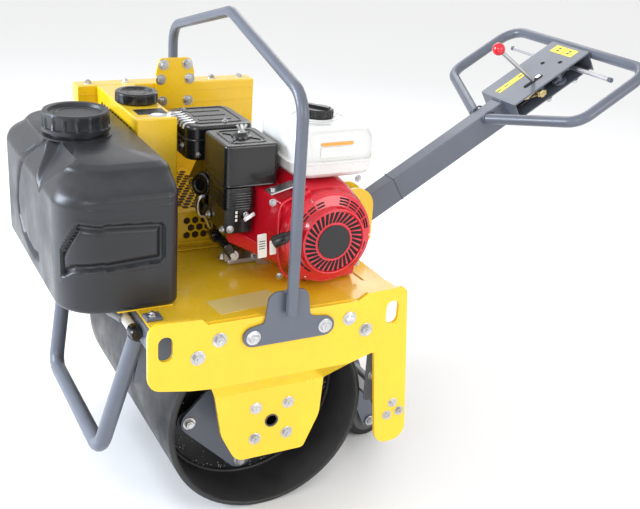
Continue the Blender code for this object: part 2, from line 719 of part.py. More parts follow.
def make_water_tank(pivot, colour):
    """Blow-moulded tank: a rounded box with a low neck, open under its cap."""
    shape = bmesh.new()
    levels = [
        (TANK_BOTTOM, 0.030, 0.040), (TANK_BOTTOM + 0.012, 0.008, 0.045),
        (TANK_BOTTOM + 0.035, 0.0, 0.050), (TANK_TOP - 0.070, 0.0, 0.050),
        (TANK_TOP - 0.030, 0.012, 0.050), (TANK_TOP - 0.008, 0.034, 0.050), (TANK_TOP, 0.050, 0.040),
    ]
    rings = []
    for height, inset, radius in levels:
        ends = (TANK_REAR + inset * 0.6, -TANK_HALF + inset, TANK_FRONT - inset * 0.6, TANK_HALF - inset)
        outline = box_outline(*ends, radius, 4)
        rings.append([shape.verts.new((u, v, height)) for u, v in outline])
    shape.faces.new(rings[0])
    for lower, upper in zip(rings, rings[1:]):
        join_rings(shape, lower, upper)
    neck = []
    for height in (TANK_TOP, CAP_TOP - 0.014):
        ring = []
        for spot in rings[-1]:
            away = Vector((spot.co.x - NECK_X, spot.co.y))
            away = away.normalized() * (NECK_RADIUS + GAP)
            ring.append(shape.verts.new((NECK_X + away.x, away.y, height)))
        neck.append(ring)
    join_rings(shape, rings[-1], neck[0])
    join_rings(shape, neck[0], neck[1])
    piece = add("water_tank", mesh_from(shape, "water_tank"), colour["plastic"], pivot)
    walls = piece.modifiers.new("wall", "SOLIDIFY")
    walls.thickness = TANK_WALL
    walls.offset = -1
    walls.use_even_offset = True

    inner = NECK_RADIUS + 0.001
    low = TANK_TOP + 0.006
    rim = CAP_TOP
    under = rim - 0.0137
    profile = [(0, under), (inner, under), (inner, low), (CAP_RADIUS, low), (CAP_RADIUS, rim - 0.004)]
    profile += [(CAP_RADIUS - 0.004, rim), (CAP_RADIUS - 0.012, rim), (CAP_RADIUS - 0.016, rim - 0.006)]
    profile += [(0, rim - 0.006)]
    shape = lathe(profile, 48, "z")
    add("water_cap", mesh_from(shape, "water_cap"), colour["plastic"], pivot, (NECK_X, 0, 0))

    front = TANK_FRONT - SHELF_INSET
    outline = box_outline(TANK_REAR + 0.010, ON_DECK, front, TANK_BOTTOM - GAP)
    plate("tank_shelf", outline, "y", -SHELF_HALF, SHELF_HALF, colour["yellow"], pivot)


# ---------------------------------------------------------------- engine
def make_engine(pivot, colour):
    """Crankcase as one plain block, and the inclined cylinder ahead of it."""
    high = FUEL_BOTTOM - GAP
    corners = [(CRANK_X - 0.090, ON_DECK, 0.010), (CYLINDER_BACK - GAP, ON_DECK, 0.010)]
    under = CLEANER_STEP - GAP
    step = MUFFLER_REAR - 0.004
    corners += [(CYLINDER_BACK - GAP, under, 0.0), (step, under, 0.0), (step, high, 0.004)]
    corners += [(CRANK_X - 0.070, high, 0.02), (CRANK_X - 0.095, CRANK_Z + 0.030, 0.02)]
    plate("engine_block", rounded(corners, 3), "y", ENGINE_RIGHT, ENGINE_LEFT, colour["alloy"], pivot)

    tilt = math.radians(CYLINDER_TILT)
    crank = Vector((CRANK_X, CRANK_Z))
    along = Vector((math.cos(tilt), math.sin(tilt)))
    across = Vector((-math.sin(tilt), math.cos(tilt)))
    high = MUFFLER_BOTTOM - GAP
    foot = crank - across * CYLINDER_HALF
    head = crank + along * CYLINDER_REACH
    slope = math.tan(tilt)
    lower = (CYLINDER_BACK, foot.y + (CYLINDER_BACK - foot.x) * slope, 0.0)
    front = head - across * CYLINDER_HALF
    upper = head + across * ((high - head.y) / across.y)
    corners = [lower, (front.x, front.y, 0.008), (upper.x, upper.y, 0.004), (CYLINDER_BACK, high, 0.0)]
    outline = rounded(corners, 3)
    plate("cylinder", outline, "y", ENGINE_RIGHT, CLEANER_RIGHT - 0.006, colour["alloy"], pivot)


def make_shroud(pivot, colour):
    """Red fan cover, open towards the engine, and the recoil starter on it."""
    step = CLEANER_BOTTOM - GAP
    side = -0.0015
    roof = FUEL_BOTTOM - GAP
    wide = [
        (-0.212, ON_DECK, 0.012), (-0.068, ON_DECK, 0.012), (0.040, 0.545, 0.008),
        (0.040, step, 0.004), (side, step, 0.0), (side, CLEANER_STEP - GAP, 0.008),
        (-0.060, CLEANER_STEP - GAP, 0.0), (-0.070, roof, 0.008), (-0.175, roof, 0.030),
        (-0.226, 0.630, 0.030),
    ]
    close = [
        (-0.200, ON_DECK, 0.012), (-0.090, ON_DECK, 0.012), (-0.045, 0.520, 0.008),
        (-0.036, 0.540, 0.004), (-0.031, 0.560, 0.0), (-0.031, 0.650, 0.008),
        (-0.065, 0.664, 0.0), (-0.080, roof - 0.006, 0.008), (-0.168, roof - 0.006, 0.030),
        (-0.214, 0.630, 0.030),
    ]
    shape = bmesh.new()
    rings = []
    edge = 0.012
    low = ENGINE_LEFT + GAP
    levels = ((wide, low), (wide, low + edge), (close, SHROUD_LEFT - edge), (close, SHROUD_LEFT))
    for corners, height in levels:
        inset = 0.006 if height == SHROUD_LEFT else 0.0
        middle = Vector((CRANK_X, CRANK_Z))
        ring = []
        for point in rounded(corners, 3):
            inward = (middle - Vector(point)).normalized() * inset
            ring.append(shape.verts.new((point[0] + inward.x, height, max(point[1] + inward.y, ON_DECK))))
        rings.append(ring)
    for lower, upper in zip(rings, rings[1:]):
        join_rings(shape, lower, upper)
    shape.faces.new(rings[-1])
    bmesh.ops.recalc_face_normals(shape, faces=shape.faces)
    piece = add("fan_cover", mesh_from(shape, "fan_cover"), colour["red"], pivot)
    walls = piece.modifiers.new("wall", "SOLIDIFY")
    walls.thickness = 0.002
    walls.offset = -1

    low = SHROUD_LEFT + GAP
    out = RECOIL_RADIUS
    profile = [(0, low), (out, low), (out, low + 0.022), (out - 0.006, low + 0.030)]
    profile += [(0.068, low + 0.036), (0.064, RECOIL_LEFT - 0.002), (0.062, RECOIL_LEFT)]
    profile += [(0.0, RECOIL_LEFT)]
    turned("recoil_starter", profile, (CRANK_X, 0, CRANK_Z), colour["red"], pivot, 48)


def make_fuel_tank(pivot, colour):
    """Pressed tank with a seam lip, open under its filler cap."""
    shape = bmesh.new()
    levels = [
        (FUEL_BOTTOM, 0.022), (FUEL_BOTTOM + 0.006, 0.008), (FUEL_BOTTOM + 0.014, 0.002),
        (FUEL_SEAM - 0.003, 0.0), (FUEL_SEAM - 0.003, -FUEL_LIP), (FUEL_SEAM, -FUEL_LIP),
        (FUEL_SEAM, 0.0), (FUEL_TOP - 0.022, 0.002), (FUEL_TOP - 0.008, 0.010), (FUEL_TOP, 0.028),
    ]
    rings = []
    for height, inset in levels:
        ends = (FUEL_REAR + inset, FUEL_RIGHT + inset, FUEL_FRONT - inset, FUEL_LEFT - inset)
        outline = box_outline(*ends, 0.036 - min(inset, 0.02) * 0.4, 4)
        rings.append([shape.verts.new((u, v, height)) for u, v in outline])
    shape.faces.new(rings[0])
    for lower, upper in zip(rings, rings[1:]):
        join_rings(shape, lower, upper)
    middle = Vector(((FUEL_FRONT + FUEL_REAR) / 2, (FUEL_LEFT + FUEL_RIGHT) / 2))
    ring = []
    for spot in rings[-1]:
        away = (Vector(spot.co[:2]) - middle).normalized() * 0.024
        ring.append(shape.verts.new((middle.x + away.x, middle.y + away.y, FUEL_TOP)))
    join_rings(shape, rings[-1], ring)
    piece = add("fuel_tank", mesh_from(shape, "fuel_tank"), colour["white"], pivot)
    walls = piece.modifiers.new("wall", "SOLIDIFY")
    walls.thickness = 0.002
    walls.offset = -1
    cap = FUEL_CAP_RADIUS
    low = FUEL_TOP + GAP
    high = low + 0.018
    profile = [(0, low), (cap, low), (cap, high - 0.003), (cap - 0.003, high), (0, high)]
    turned("fuel_cap", profile, (middle.x, middle.y, 0), colour["black"], pivot, 32, "z")


def make_breathing(pivot, colour):
    """Air cleaner with its lower box, carburettor and muffler."""
    outline = box_outline(CLEANER_REAR, CLEANER_RIGHT, CLEANER_FRONT, CLEANER_LEFT, 0.010)
    plate("air_cleaner", outline, "z", CLEANER_STEP, CLEANER_TOP, colour["black"], pivot, 0.006)
    outline = box_outline(0.002, CLEANER_RIGHT + 0.020, CLEANER_FRONT - 0.002, CLEANER_LEFT - 0.002, 0.012)
    plate("cleaner_duct", outline, "z", CLEANER_BOTTOM, CLEANER_STEP - GAP, colour["black"], pivot, 0.003)
    outline = box_outline(MUFFLER_REAR, MUFFLER_RIGHT, MUFFLER_FRONT, MUFFLER_LEFT, 0.028)
    plate("muffler", outline, "z", MUFFLER_BOTTOM, MUFFLER_TOP, colour["black"], pivot, 0.010)


# ---------------------------------------------------------------- rear pieces
def make_scraper(pivot, colour):
    back = BLADE_FRONT - BLADE_DEPTH
    inside = HANGER_OUT - HANGER - GAP
    blade = [(BLADE_FRONT, BLADE_Z - BLADE / 2), (BLADE_FRONT, BLADE_Z + BLADE / 2)]
    blade += [(back, BLADE_Z + BLADE / 2), (back, BLADE_Z - BLADE / 2)]
    plate("scraper_blade", blade, "y", -inside, inside, colour["grey"], pivot)
    for side, word in ((1, "left"), (-1, "right")):
        low, high = sorted((side * (HANGER_OUT - HANGER), side * HANGER_OUT))
        top = BEAM_LOW - GAP
        corners = [(back - 0.004, BLADE_Z - 0.018, 0.008), (BLADE_FRONT, BLADE_Z - 0.018, 0.008)]
        corners += [(HANGER_FRONT, top, 0.006), (HANGER_FRONT - BLADE_DEPTH - 0.004, top, 0.006)]
        plate(f"scraper_hanger_{word}", rounded(corners), "y", low, high, colour["grey"], pivot)


def make_support(pivot, roller_pivot, colour):
    """Small roller behind the drum on two arms from a tube between the legs."""
    arm_in = ROLLER_HALF + ARM_GAP
    cross = turned("support_bracket", [(CROSS_RADIUS, -INNER_HALF), (CROSS_RADIUS, INNER_HALF)],
                   (CROSS_X, 0, CROSS_Z), colour["grey"], pivot, 24)
    start = Vector((CROSS_X, CROSS_Z))
    end = Vector((ROLLER_X, ROLLER_RADIUS))
    along = (end - start).normalized()
    heading = math.degrees(math.atan2(along.y, along.x))
    for side, word in ((1, "left"), (-1, "right")):
        low, high = sorted((side * arm_in, side * (arm_in + ARM)))
        outline = arc((0, 0), 0.022, heading + 90, heading + 270, 8)
        far = end - start
        outline += arc((far.x, far.y), 0.018, heading - 90, heading + 90, 8)
        combine(cross, cutter(f"support_arm_{word}", prism(outline, "y", low, high), pivot,
                              (CROSS_X, 0, CROSS_Z)), "UNION")
    bore = STUB_RADIUS + RUN
    drill(cross, "support_bore", bore, "y", -INNER_HALF, INNER_HALF, (ROLLER_X, 0, ROLLER_RADIUS), pivot)
    edge = 0.004
    stub = arm_in + ARM + 0.004
    half = ROLLER_HALF
    profile = [(0, -stub), (STUB_RADIUS, -stub), (STUB_RADIUS, -half), (ROLLER_RADIUS - edge, -half)]
    profile += [(ROLLER_RADIUS, -half + edge)]
    profile += [(radius, -height) for radius, height in profile[::-1]]
    turned("support_roller", profile, (0, 0, 0), colour["rubber"], roller_pivot, 40)


# ---------------------------------------------------------------- handle
def make_handle_bracket(pivot, colour):
    """Two round-topped lugs on a base plate behind the rear beam."""
    base_front = BEAM_BACK - GAP
    base_back = base_front - LUG
    base = box_outline(-0.085, BEAM_LOW, 0.085, PIVOT_Z - 0.030, 0.010)
    body = plate("handle_bracket", base, "x", base_back, base_front, colour["yellow"], pivot)
    centre = (PIVOT_X, PIVOT_Z + 0.018)
    outline = [(base_front - 0.002, PIVOT_Z - 0.085)]
    outline += [(base_front - 0.002, PIVOT_Z - 0.020)]
    outline += arc(centre, LUG_RADIUS, 50, 180, 10)
    outline += [(PIVOT_X - LUG_RADIUS, PIVOT_Z - 0.060), (PIVOT_X - 0.020, PIVOT_Z - 0.085)]
    inner = BEAM_W / 2 + LUG_GAP
    for side, word in ((1, "left"), (-1, "right")):
        low, high = sorted((side * inner, side * (inner + LUG)))
        combine(body, cutter(f"handle_lug_{word}", prism(outline, "y", low, high), pivot), "UNION")
    drill(body, "handle_lug_bore", PIN_RADIUS + RUN, "y", -0.05, 0.05, (PIVOT_X, 0, PIVOT_Z), pivot)


def make_handle(pivot, colour):
    """Handle in its own frame: it runs along -X from the pivot, and +Z is its upper side."""
    half = BEAM_W / 2
    outline = [(0.030, -BEAM_DOWN + 0.012, 0.010), (0.030, BEAM_UP, 0.008), (-BEAM_END + GAP, BEAM_UP, 0)]
    outline += [(-BEAM_END + GAP, -BEAM_DOWN, 0), (0.006, -BEAM_DOWN, 0.006)]
    beam = plate("handle_beam", rounded(outline), "y", -half, half, colour["grey"], pivot, 0.003)
    drill(beam, "handle_bore", PIN_RADIUS + RUN, "y", -half - 0.01, half + 0.01, (0, 0, 0), pivot)

    front = -BEAM_END
    back = front - CONSOLE_LENGTH
    low = CONSOLE_TOP - CONSOLE_DEPTH
    wide = CONSOLE_HALF
    sheet = CONSOLE_SHEET
    body = plate("console", box_outline(back, -wide, front, wide, 0.004, 2), "z", low, CONSOLE_TOP,
                 colour["grey"], pivot)
    hollow = prism(box_outline(back + sheet, -wide + sheet, front - sheet, wide + 0.02), "z",
                   low - 0.02, CONSOLE_TOP - sheet)
    combine(body, cutter("console_hollow", hollow, pivot))

    edge = half + GAP + LOOP_RADIUS * 0.40
    points = [(-LOOP_START, edge, LOOP_HEIGHT), (-LOOP_CORNER, LOOP_HALF, LOOP_HEIGHT)]
    points += [(-LOOP_END, LOOP_HALF, LOOP_HEIGHT)]
    points += [(x, -y, z) for x, y, z in points[::-1]]
    tube("handle_loop", bent(points, LOOP_BEND), LOOP_RADIUS, colour["grey"], pivot)

    base = Vector((-(BEAM_END + LEVER_SET), LEVER_Y, CONSOLE_TOP + GAP))
    tip = base + Vector(LEVER_REACH)
    along = (tip - base).normalized()
    base.z += LEVER_RADIUS * math.hypot(along.x, along.y)
    tube("control_lever", [base, tip], LEVER_RADIUS, colour["alloy"], pivot, 3)
    ball = KNOB_RADIUS
    knob = [(0, -ball)]
    knob += [(ball * math.cos(math.radians(t)), ball * math.sin(math.radians(t))) for t in range(-72, 90, 18)]
    knob += [(0, ball)]
    turned("lever_knob", knob, tip + along * (ball + GAP), colour["red"], pivot, 20, "z")
    rod = (back + ROD_INSET, 0, CONSOLE_TOP - ROD_DEPTH)
    drill(body, "rod_bore", ROD_RADIUS + RUN, "y", -wide - sheet, -wide + 2 * sheet, rod, pivot)
    profile = [(ROD_RADIUS, -ROD_HALF), (ROD_RADIUS, ROD_HALF)]
    turned("travel_rod", profile, rod, colour["alloy"], pivot, 16)


def make_pin(pivot, colour):
    """The bolt that the handle turns on."""
    reach = BEAM_W / 2 + LUG_GAP + LUG + 0.004
    head = 0.006
    profile = [(0, -reach - head), (0.013, -reach - head), (0.013, -reach + 0.0037), (PIN_RADIUS, -reach + 0.0037)]
    profile += [(radius, -height) for radius, height in profile[::-1]]
    turned("handle_pin", profile, (PIVOT_X, 0, PIVOT_Z), colour["alloy"], pivot, 24)


# ---------------------------------------------------------------- the whole machine
def main():
    clear_scene()
    colour = {
        "yellow": paint("yellow_paint", (0.90, 0.66, 0.02), 0.35),
        "grey": paint("grey_paint", (0.19, 0.20, 0.26), 0.40),
        "drum": paint("drum_black", (0.02, 0.02, 0.022), 0.45),
        "rubber": paint("black_rubber", (0.015, 0.015, 0.015), 0.80),
        "iron": paint("cast_iron", (0.10, 0.10, 0.11), 0.60, 0.6),
        "plastic": paint("black_plastic", (0.03, 0.03, 0.035), 0.45),
        "black": paint("black_cover", (0.012, 0.012, 0.013), 0.35),
        "red": paint("red_paint", (0.62, 0.02, 0.03), 0.30),
        "white": paint("white_paint", (0.85, 0.85, 0.83), 0.30),
        "alloy": paint("alloy", (0.55, 0.55, 0.56), 0.45, 0.9),
    }
    machine = empty("machine", (-MIDDLE_X, -MIDDLE_Y, 0))
    drum_axis = empty("drum_axis", (0, 0, AXLE_Z), parent=machine)
    roller_axis = empty("roller_axis", (ROLLER_X, 0, ROLLER_RADIUS), parent=machine)
    handle_axis = empty("handle_axis", (PIVOT_X, 0, PIVOT_Z), HANDLE_TILT, machine)

    make_drum(drum_axis, colour)
    make_side_plates(machine, colour)
    make_axles(machine, colour)
    make_deck(machine, colour)
    make_cross_members(machine, colour)
    make_front_guard(machine, colour)
    make_hoop(machine, colour)
    make_belt_guard(machine, colour)
    make_oil_tank(machine, colour)
    make_water_tank(machine, colour)
    make_engine(machine, colour)
    make_shroud(machine, colour)
    make_fuel_tank(machine, colour)
    make_breathing(machine, colour)
    make_scraper(machine, colour)
    make_support(machine, roller_axis, colour)
    make_handle_bracket(machine, colour)
    make_pin(machine, colour)
    make_handle(handle_axis, colour)


main()
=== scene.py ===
"""Looks of the walk-behind road roller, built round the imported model.

Metres. +X is the front of the machine, +Y its left side, +Z up. Places are given from the drum:
at() takes x from the drum's axle, y from the drum's middle and z from the floor.
"""
import random
from math import asin, atan2, cos, exp, hypot, pi, radians, sin, sqrt

import bmesh
import bpy
from mathutils import Matrix, Vector


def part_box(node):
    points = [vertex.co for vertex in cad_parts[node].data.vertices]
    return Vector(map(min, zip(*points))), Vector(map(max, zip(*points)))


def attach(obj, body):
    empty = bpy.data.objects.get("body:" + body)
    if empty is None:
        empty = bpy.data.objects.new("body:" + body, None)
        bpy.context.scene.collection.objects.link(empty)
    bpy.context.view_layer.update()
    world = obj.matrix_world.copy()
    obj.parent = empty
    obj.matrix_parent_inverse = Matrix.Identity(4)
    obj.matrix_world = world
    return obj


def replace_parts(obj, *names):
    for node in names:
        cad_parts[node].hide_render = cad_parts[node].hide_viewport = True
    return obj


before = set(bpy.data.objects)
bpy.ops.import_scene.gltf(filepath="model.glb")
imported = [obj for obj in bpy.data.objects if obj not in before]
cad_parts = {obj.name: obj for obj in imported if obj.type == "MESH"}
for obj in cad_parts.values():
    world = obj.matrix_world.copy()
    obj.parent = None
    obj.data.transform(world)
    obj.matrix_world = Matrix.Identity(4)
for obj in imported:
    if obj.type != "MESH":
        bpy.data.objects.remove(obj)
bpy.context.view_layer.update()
random.seed(7)

drum_low, drum_high = (Vector(corner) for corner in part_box("drum_shell"))
ORIGIN = Vector(((drum_low.x + drum_high.x) / 2, (drum_low.y + drum_high.y) / 2, 0))
AXLE = drum_high.z / 2
SIDES = ((1, "left"), (-1, "right"))
FRONT, LEFT, UP = (1, 0, 0), (0, 1, 0), (0, 0, 1)


def at(x, y, z):
    return ORIGIN + Vector((x, y, z))


def extent(node):
    """A node's box in drum coordinates."""
    low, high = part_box(node)
    return Vector(low) - ORIGIN, Vector(high) - ORIGIN


def turns(count, extra=0):
    """Angles round a circle in count equal steps, with extra ones past the full turn."""
    return [2 * pi * index / count for index in range(count + extra)]


def level_ring(x, y, z, radius, angles):
    return [at(x + radius * cos(turn), y + radius * sin(turn), z) for turn in angles]


def upright_ring(x, y, z, radius, angles):
    """Places on a circle that faces left."""
    return [at(x + radius * cos(turn), y, z + radius * sin(turn)) for turn in angles]


def rotation(angle, axis="Y"):
    return Matrix.Rotation(angle, 4, axis)


# ---------------------------------------------------------------- materials
def add_node(tree, kind, given, **settings):
    """Adds a shader node: given maps each socket to its value or to the output that feeds it."""
    made = tree.nodes.new("ShaderNode" + kind)
    for name, value in settings.items():
        setattr(made, name, value)
    for socket, value in given.items():
        if isinstance(value, bpy.types.NodeSocket):
            tree.links.new(value, made.inputs[socket])
        else:
            made.inputs[socket].default_value = value
    return made


def noise(tree, coord, scale, detail=4.0, rough=0.6):
    given = {"Scale": scale, "Detail": detail, "Roughness": rough, "Vector": coord}
    return add_node(tree, "TexNoise", given).outputs["Fac"]


def span(tree, value, low, high, to_low, to_high):
    given = {"From Min": low, "From Max": high, "To Min": to_low, "To Max": to_high, "Value": value}
    return add_node(tree, "MapRange", given).outputs["Result"]


def product(tree, first, second, clamp=False):
    made = add_node(tree, "Math", {0: first, 1: second}, operation="MULTIPLY", use_clamp=clamp)
    return made.outputs[0]


def blend_colour(tree, factor, first, second):
    first, second = ((*tone, 1.0) if isinstance(tone, tuple) else tone for tone in (first, second))
    return add_node(tree, "Mix", {"Factor": factor, 6: first, 7: second}, data_type="RGBA").outputs[2]


def edge_mask(tree, radius):
    """High where the surface turns sharply: a rounded normal compared with the real one."""
    bevel = add_node(tree, "Bevel", {"Radius": radius}, samples=4)
    shape = add_node(tree, "NewGeometry", {})
    given = {0: bevel.outputs["Normal"], 1: shape.outputs["Normal"]}
    return add_node(tree, "VectorMath", given, operation="DOT_PRODUCT").outputs["Value"]


SLOT_LOOKS = {}


def surface(name, slot, colour, rough, metal=0.0, shade=0.82, patch=5.0, grain=700.0, depth=0.00012,
            worn=None, dust=None, coat=0.0, rough_spread=0.1):
    """A surface with colour variation and a fine grain; worn and dust are a colour and an amount,
    for worn edges and for dust on top faces. The first look of a slot dresses the nodes with it."""
    made = bpy.data.materials.new(name)
    made.use_nodes = True
    tree = made.node_tree
    shader = tree.nodes["Principled BSDF"].inputs
    shader["Metallic"].default_value = metal
    shader["Coat Weight"].default_value = coat
    shader["Coat Roughness"].default_value = 0.08
    coord = add_node(tree, "TexCoord", {}).outputs["Object"]
    factor = span(tree, noise(tree, coord, patch, 5.0), 0.35, 0.65, 0.0, 1.0)
    tone = blend_colour(tree, factor, tuple(channel * shade for channel in colour), colour)
    if dust:
        shape = add_node(tree, "NewGeometry", {})
        split = add_node(tree, "SeparateXYZ", {"Vector": shape.outputs["Normal"]})
        up = span(tree, split.outputs["Z"], 0.3, 1.0, 0.0, dust[1])
        cloud = span(tree, noise(tree, coord, 22.0, 6.0, 0.7), 0.4, 0.7, 0.2, 1.0)
        tone = blend_colour(tree, product(tree, up, cloud), tone, dust[0])
    if worn:
        along = span(tree, edge_mask(tree, 0.0012), 0.97, 0.8, 0.0, 1.0)
        spots = span(tree, noise(tree, coord, 90.0, 6.0, 0.75), 0.5, 0.62, 0.0, worn[1])
        tone = blend_colour(tree, product(tree, along, spots, True), tone, worn[0])
    tree.links.new(tone, shader["Base Color"])
    fine = noise(tree, coord, grain, 3.0)
    low, high = rough - rough_spread / 2, rough + rough_spread
    smear = span(tree, noise(tree, coord, 11.0, 4.0), 0.3, 0.7, low, high)
    tree.links.new(smear, shader["Roughness"])
    bump = add_node(tree, "Bump", {"Strength": 0.6, "Distance": depth, "Height": fine})
    tree.links.new(bump.outputs["Normal"], shader["Normal"])
    SLOT_LOOKS.setdefault(slot, made)
    return made


YELLOW = surface("gloss_yellow_paint", "yellow_paint", (0.93, 0.6, 0.012), 0.24, shade=0.9, depth=0.0001,
                 grain=420, worn=((0.25, 0.2, 0.12), 0.8), dust=((0.55, 0.42, 0.16), 0.18), coat=0.35)
GREY = surface("blue_grey_paint", "grey_paint", (0.118, 0.134, 0.172), 0.34, shade=0.86, grain=520,
               worn=((0.42, 0.42, 0.45), 0.7), dust=((0.26, 0.26, 0.28), 0.15), coat=0.15)
DRUM = surface("drum_coating", "drum_black", (0.022, 0.022, 0.024), 0.42, shade=0.6, patch=9, grain=260,
               depth=0.0003, worn=((0.22, 0.21, 0.2), 0.9), rough_spread=0.25)
surface("black_rubber", "black_rubber", (0.02, 0.02, 0.021), 0.72, shade=0.7, grain=900,
        depth=0.0002, dust=((0.2, 0.19, 0.18), 0.35))
IRON = surface("cast_iron", "cast_iron", (0.16, 0.16, 0.165), 0.55, metal=0.7, shade=0.7, grain=600,
               depth=0.0005)
PLASTIC = surface("moulded_tank_plastic", "black_plastic", (0.016, 0.017, 0.02), 0.33, shade=0.8,
                  grain=380, depth=0.0003, dust=((0.12, 0.12, 0.14), 0.2), rough_spread=0.14)
BLACK = surface("black_cover_plastic", "black_cover", (0.008, 0.008, 0.009), 0.24, shade=0.7, grain=800,
                depth=0.0001, dust=((0.07, 0.07, 0.07), 0.1), coat=0.2)
RED = surface("gloss_red_paint", "red_paint", (0.7, 0.01, 0.028), 0.22, shade=0.88, grain=450,
              worn=((0.35, 0.05, 0.05), 0.5), coat=0.5)
WHITE = surface("gloss_white_paint", "white_paint", (0.74, 0.74, 0.72), 0.24, shade=0.95, grain=450,
                worn=((0.5, 0.5, 0.48), 0.5), coat=0.3)
ALLOY = surface("cast_alloy", "alloy", (0.6, 0.6, 0.61), 0.4, metal=0.9, shade=0.8, grain=500,
                depth=0.0004)
ZINC = surface("zinc_plated_steel", "alloy", (0.66, 0.66, 0.67), 0.28, metal=1.0, shade=0.75, patch=60,
               grain=900)
CHROME = surface("polished_steel", "alloy", (0.78, 0.78, 0.8), 0.14, metal=1.0, shade=0.9, patch=40)
# Painted shade: a near-black look laid over holes, slots and vents to stand for the shade inside them.
HOLE_SHADE = surface("painted_hole_shade", "black_cover", (0.006, 0.006, 0.007), 0.8, shade=0.6)
MESH_DARK = surface("mesh_shadow", "yellow_paint", (0.05, 0.022, 0.004), 0.75, shade=0.6)
LABEL_YELLOW = surface("yellow_label", "yellow_paint", (0.95, 0.8, 0.05), 0.4, shade=0.95)
LABEL_PALE = surface("pale_label", "white_paint", (0.8, 0.79, 0.74), 0.4, shade=0.94)
LABEL_SAND = surface("sand_label", "yellow_paint", (0.74, 0.6, 0.22), 0.35, shade=0.92)
LABEL_BLUE = surface("blue_label", "white_paint", (0.34, 0.48, 0.72), 0.3, shade=0.9)
LABEL_ORANGE = surface("orange_label", "red_paint", (0.9, 0.36, 0.06), 0.4, shade=0.95)
LABEL_DARK = surface("dark_label", "black_cover", (0.012, 0.012, 0.014), 0.3, shade=0.85)
HOSE = surface("grey_hose", "black_rubber", (0.24, 0.24, 0.25), 0.5, shade=0.85, grain=500)
BRASS = surface("yellow_zinc", "alloy", (0.62, 0.5, 0.24), 0.35, metal=0.8, shade=0.8)


# ---------------------------------------------------------------- carried-over nodes
def dress_nodes():
    """Every CAD node gets its material, welded smooth faces and soft edges."""
    soft = {"water_cap": 0.0012, "drum_shell": 0.0, "recoil_starter": 0.0015}
    for name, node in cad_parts.items():
        slot = node.material_slots[0]
        slot.material = SLOT_LOOKS[slot.material.name]
        data = node.data
        if "custom_normal" in data.attributes:
            data.attributes.remove(data.attributes["custom_normal"])
        data.polygons.foreach_set("use_smooth", [True] * len(data.polygons))
        weld = node.modifiers.new("weld", "WELD")
        weld.merge_threshold = 0.00002
        flat = node.modifiers.new("flat_faces", "DECIMATE")
        flat.decimate_type = "DISSOLVE"
        flat.angle_limit = radians(1.0)
        width = soft.get(name, 0.001)
        if width:
            round_edges(node, "soft_edges", width, 2, 32)
        normal = node.modifiers.new("normals", "WEIGHTED_NORMAL")
        normal.keep_sharp = True
        normal.weight = 60


# ---------------------------------------------------------------- piece builders
def round_edges(made, name, width, segments, limit):
    """A bevel on edges that turn by more than limit degrees."""
    bevel = made.modifiers.new(name, "BEVEL")
    bevel.width = width
    bevel.segments = segments
    bevel.limit_method = "ANGLE"
    bevel.angle_limit = radians(limit)


def piece(name, shape, look, body="frame", smooth=30, bevel=0.0, segments=2):
    """A bmesh becomes a shown piece that rides on a body."""
    bmesh.ops.recalc_face_normals(shape, faces=shape.faces)
    data = bpy.data.meshes.new(name)
    shape.to_mesh(data)
    shape.free()
    data.materials.append(look)
    if smooth:
        data.shade_smooth()
        data.set_sharp_from_angle(angle=radians(smooth))
    made = bpy.data.objects.new(name, data)
    bpy.context.scene.collection.objects.link(made)
    if bevel:
        round_edges(made, "edges", bevel, segments, 35)
    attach(made, body)
    return made


def build(name, look, *parts, **finish):
    """A piece put together from parts, each a put function followed by what it takes."""
    shape = bmesh.new()
    for put, *given in parts:
        put(shape, *given)
    return piece(name, shape, look, **finish)


def turn_to(direction, spin=0.0):
    """Rotation that takes +Z to a direction."""
    turn = Vector(UP).rotation_difference(Vector(direction).normalized()).to_matrix().to_4x4()
    return turn @ rotation(spin, "Z")


def skin(shape, lower, upper, turned=False):
    """Joins two rings of vertices; either may be a single point, and turned swaps the faces' sense."""
    count = max(len(lower), len(upper))
    for side in range(count):
        after = (side + 1) % count
        corners = [lower[side % len(lower)], lower[after % len(lower)],
                   upper[after % len(upper)], upper[side % len(upper)]]
        if turned:
            corners[1:] = reversed(corners[1:])
        shape.faces.new(tuple(dict.fromkeys(corners)))


def put_lathe(shape, place, direction, profile, sides=32, spin=0.0):
    """Adds a turned body: (radius, height) points along a direction from place."""
    matrix = Matrix.Translation(place) @ turn_to(direction, spin)
    rings = []
    for radius, height in profile:
        angles = turns(sides) if radius > 0 else [0]
        points = [Vector((radius * cos(turn), radius * sin(turn), height)) for turn in angles]
        rings.append([shape.verts.new(matrix @ point) for point in points])
    for lower, upper in zip(rings, rings[1:]):
        skin(shape, lower, upper, True)
    for end in (rings[0], rings[-1]):
        if len(end) > 1:
            shape.faces.new(end)


def put_box(shape, place, size, turn=Matrix.Identity(4)):
    """Adds a box about its middle."""
    matrix = Matrix.Translation(place) @ turn @ Matrix.Diagonal((*size, 1))
    bmesh.ops.create_cube(shape, size=1.0, matrix=matrix)


def put_prism(shape, outline, matrix, depth):
    """Adds an outline in the matrix's XY plane, pushed along its Z."""
    low, high = ([shape.verts.new(matrix @ Vector((u, v, w))) for u, v in outline] for w in (0, depth))
    shape.faces.new(low)
    shape.faces.new(high)
    skin(shape, low, high)


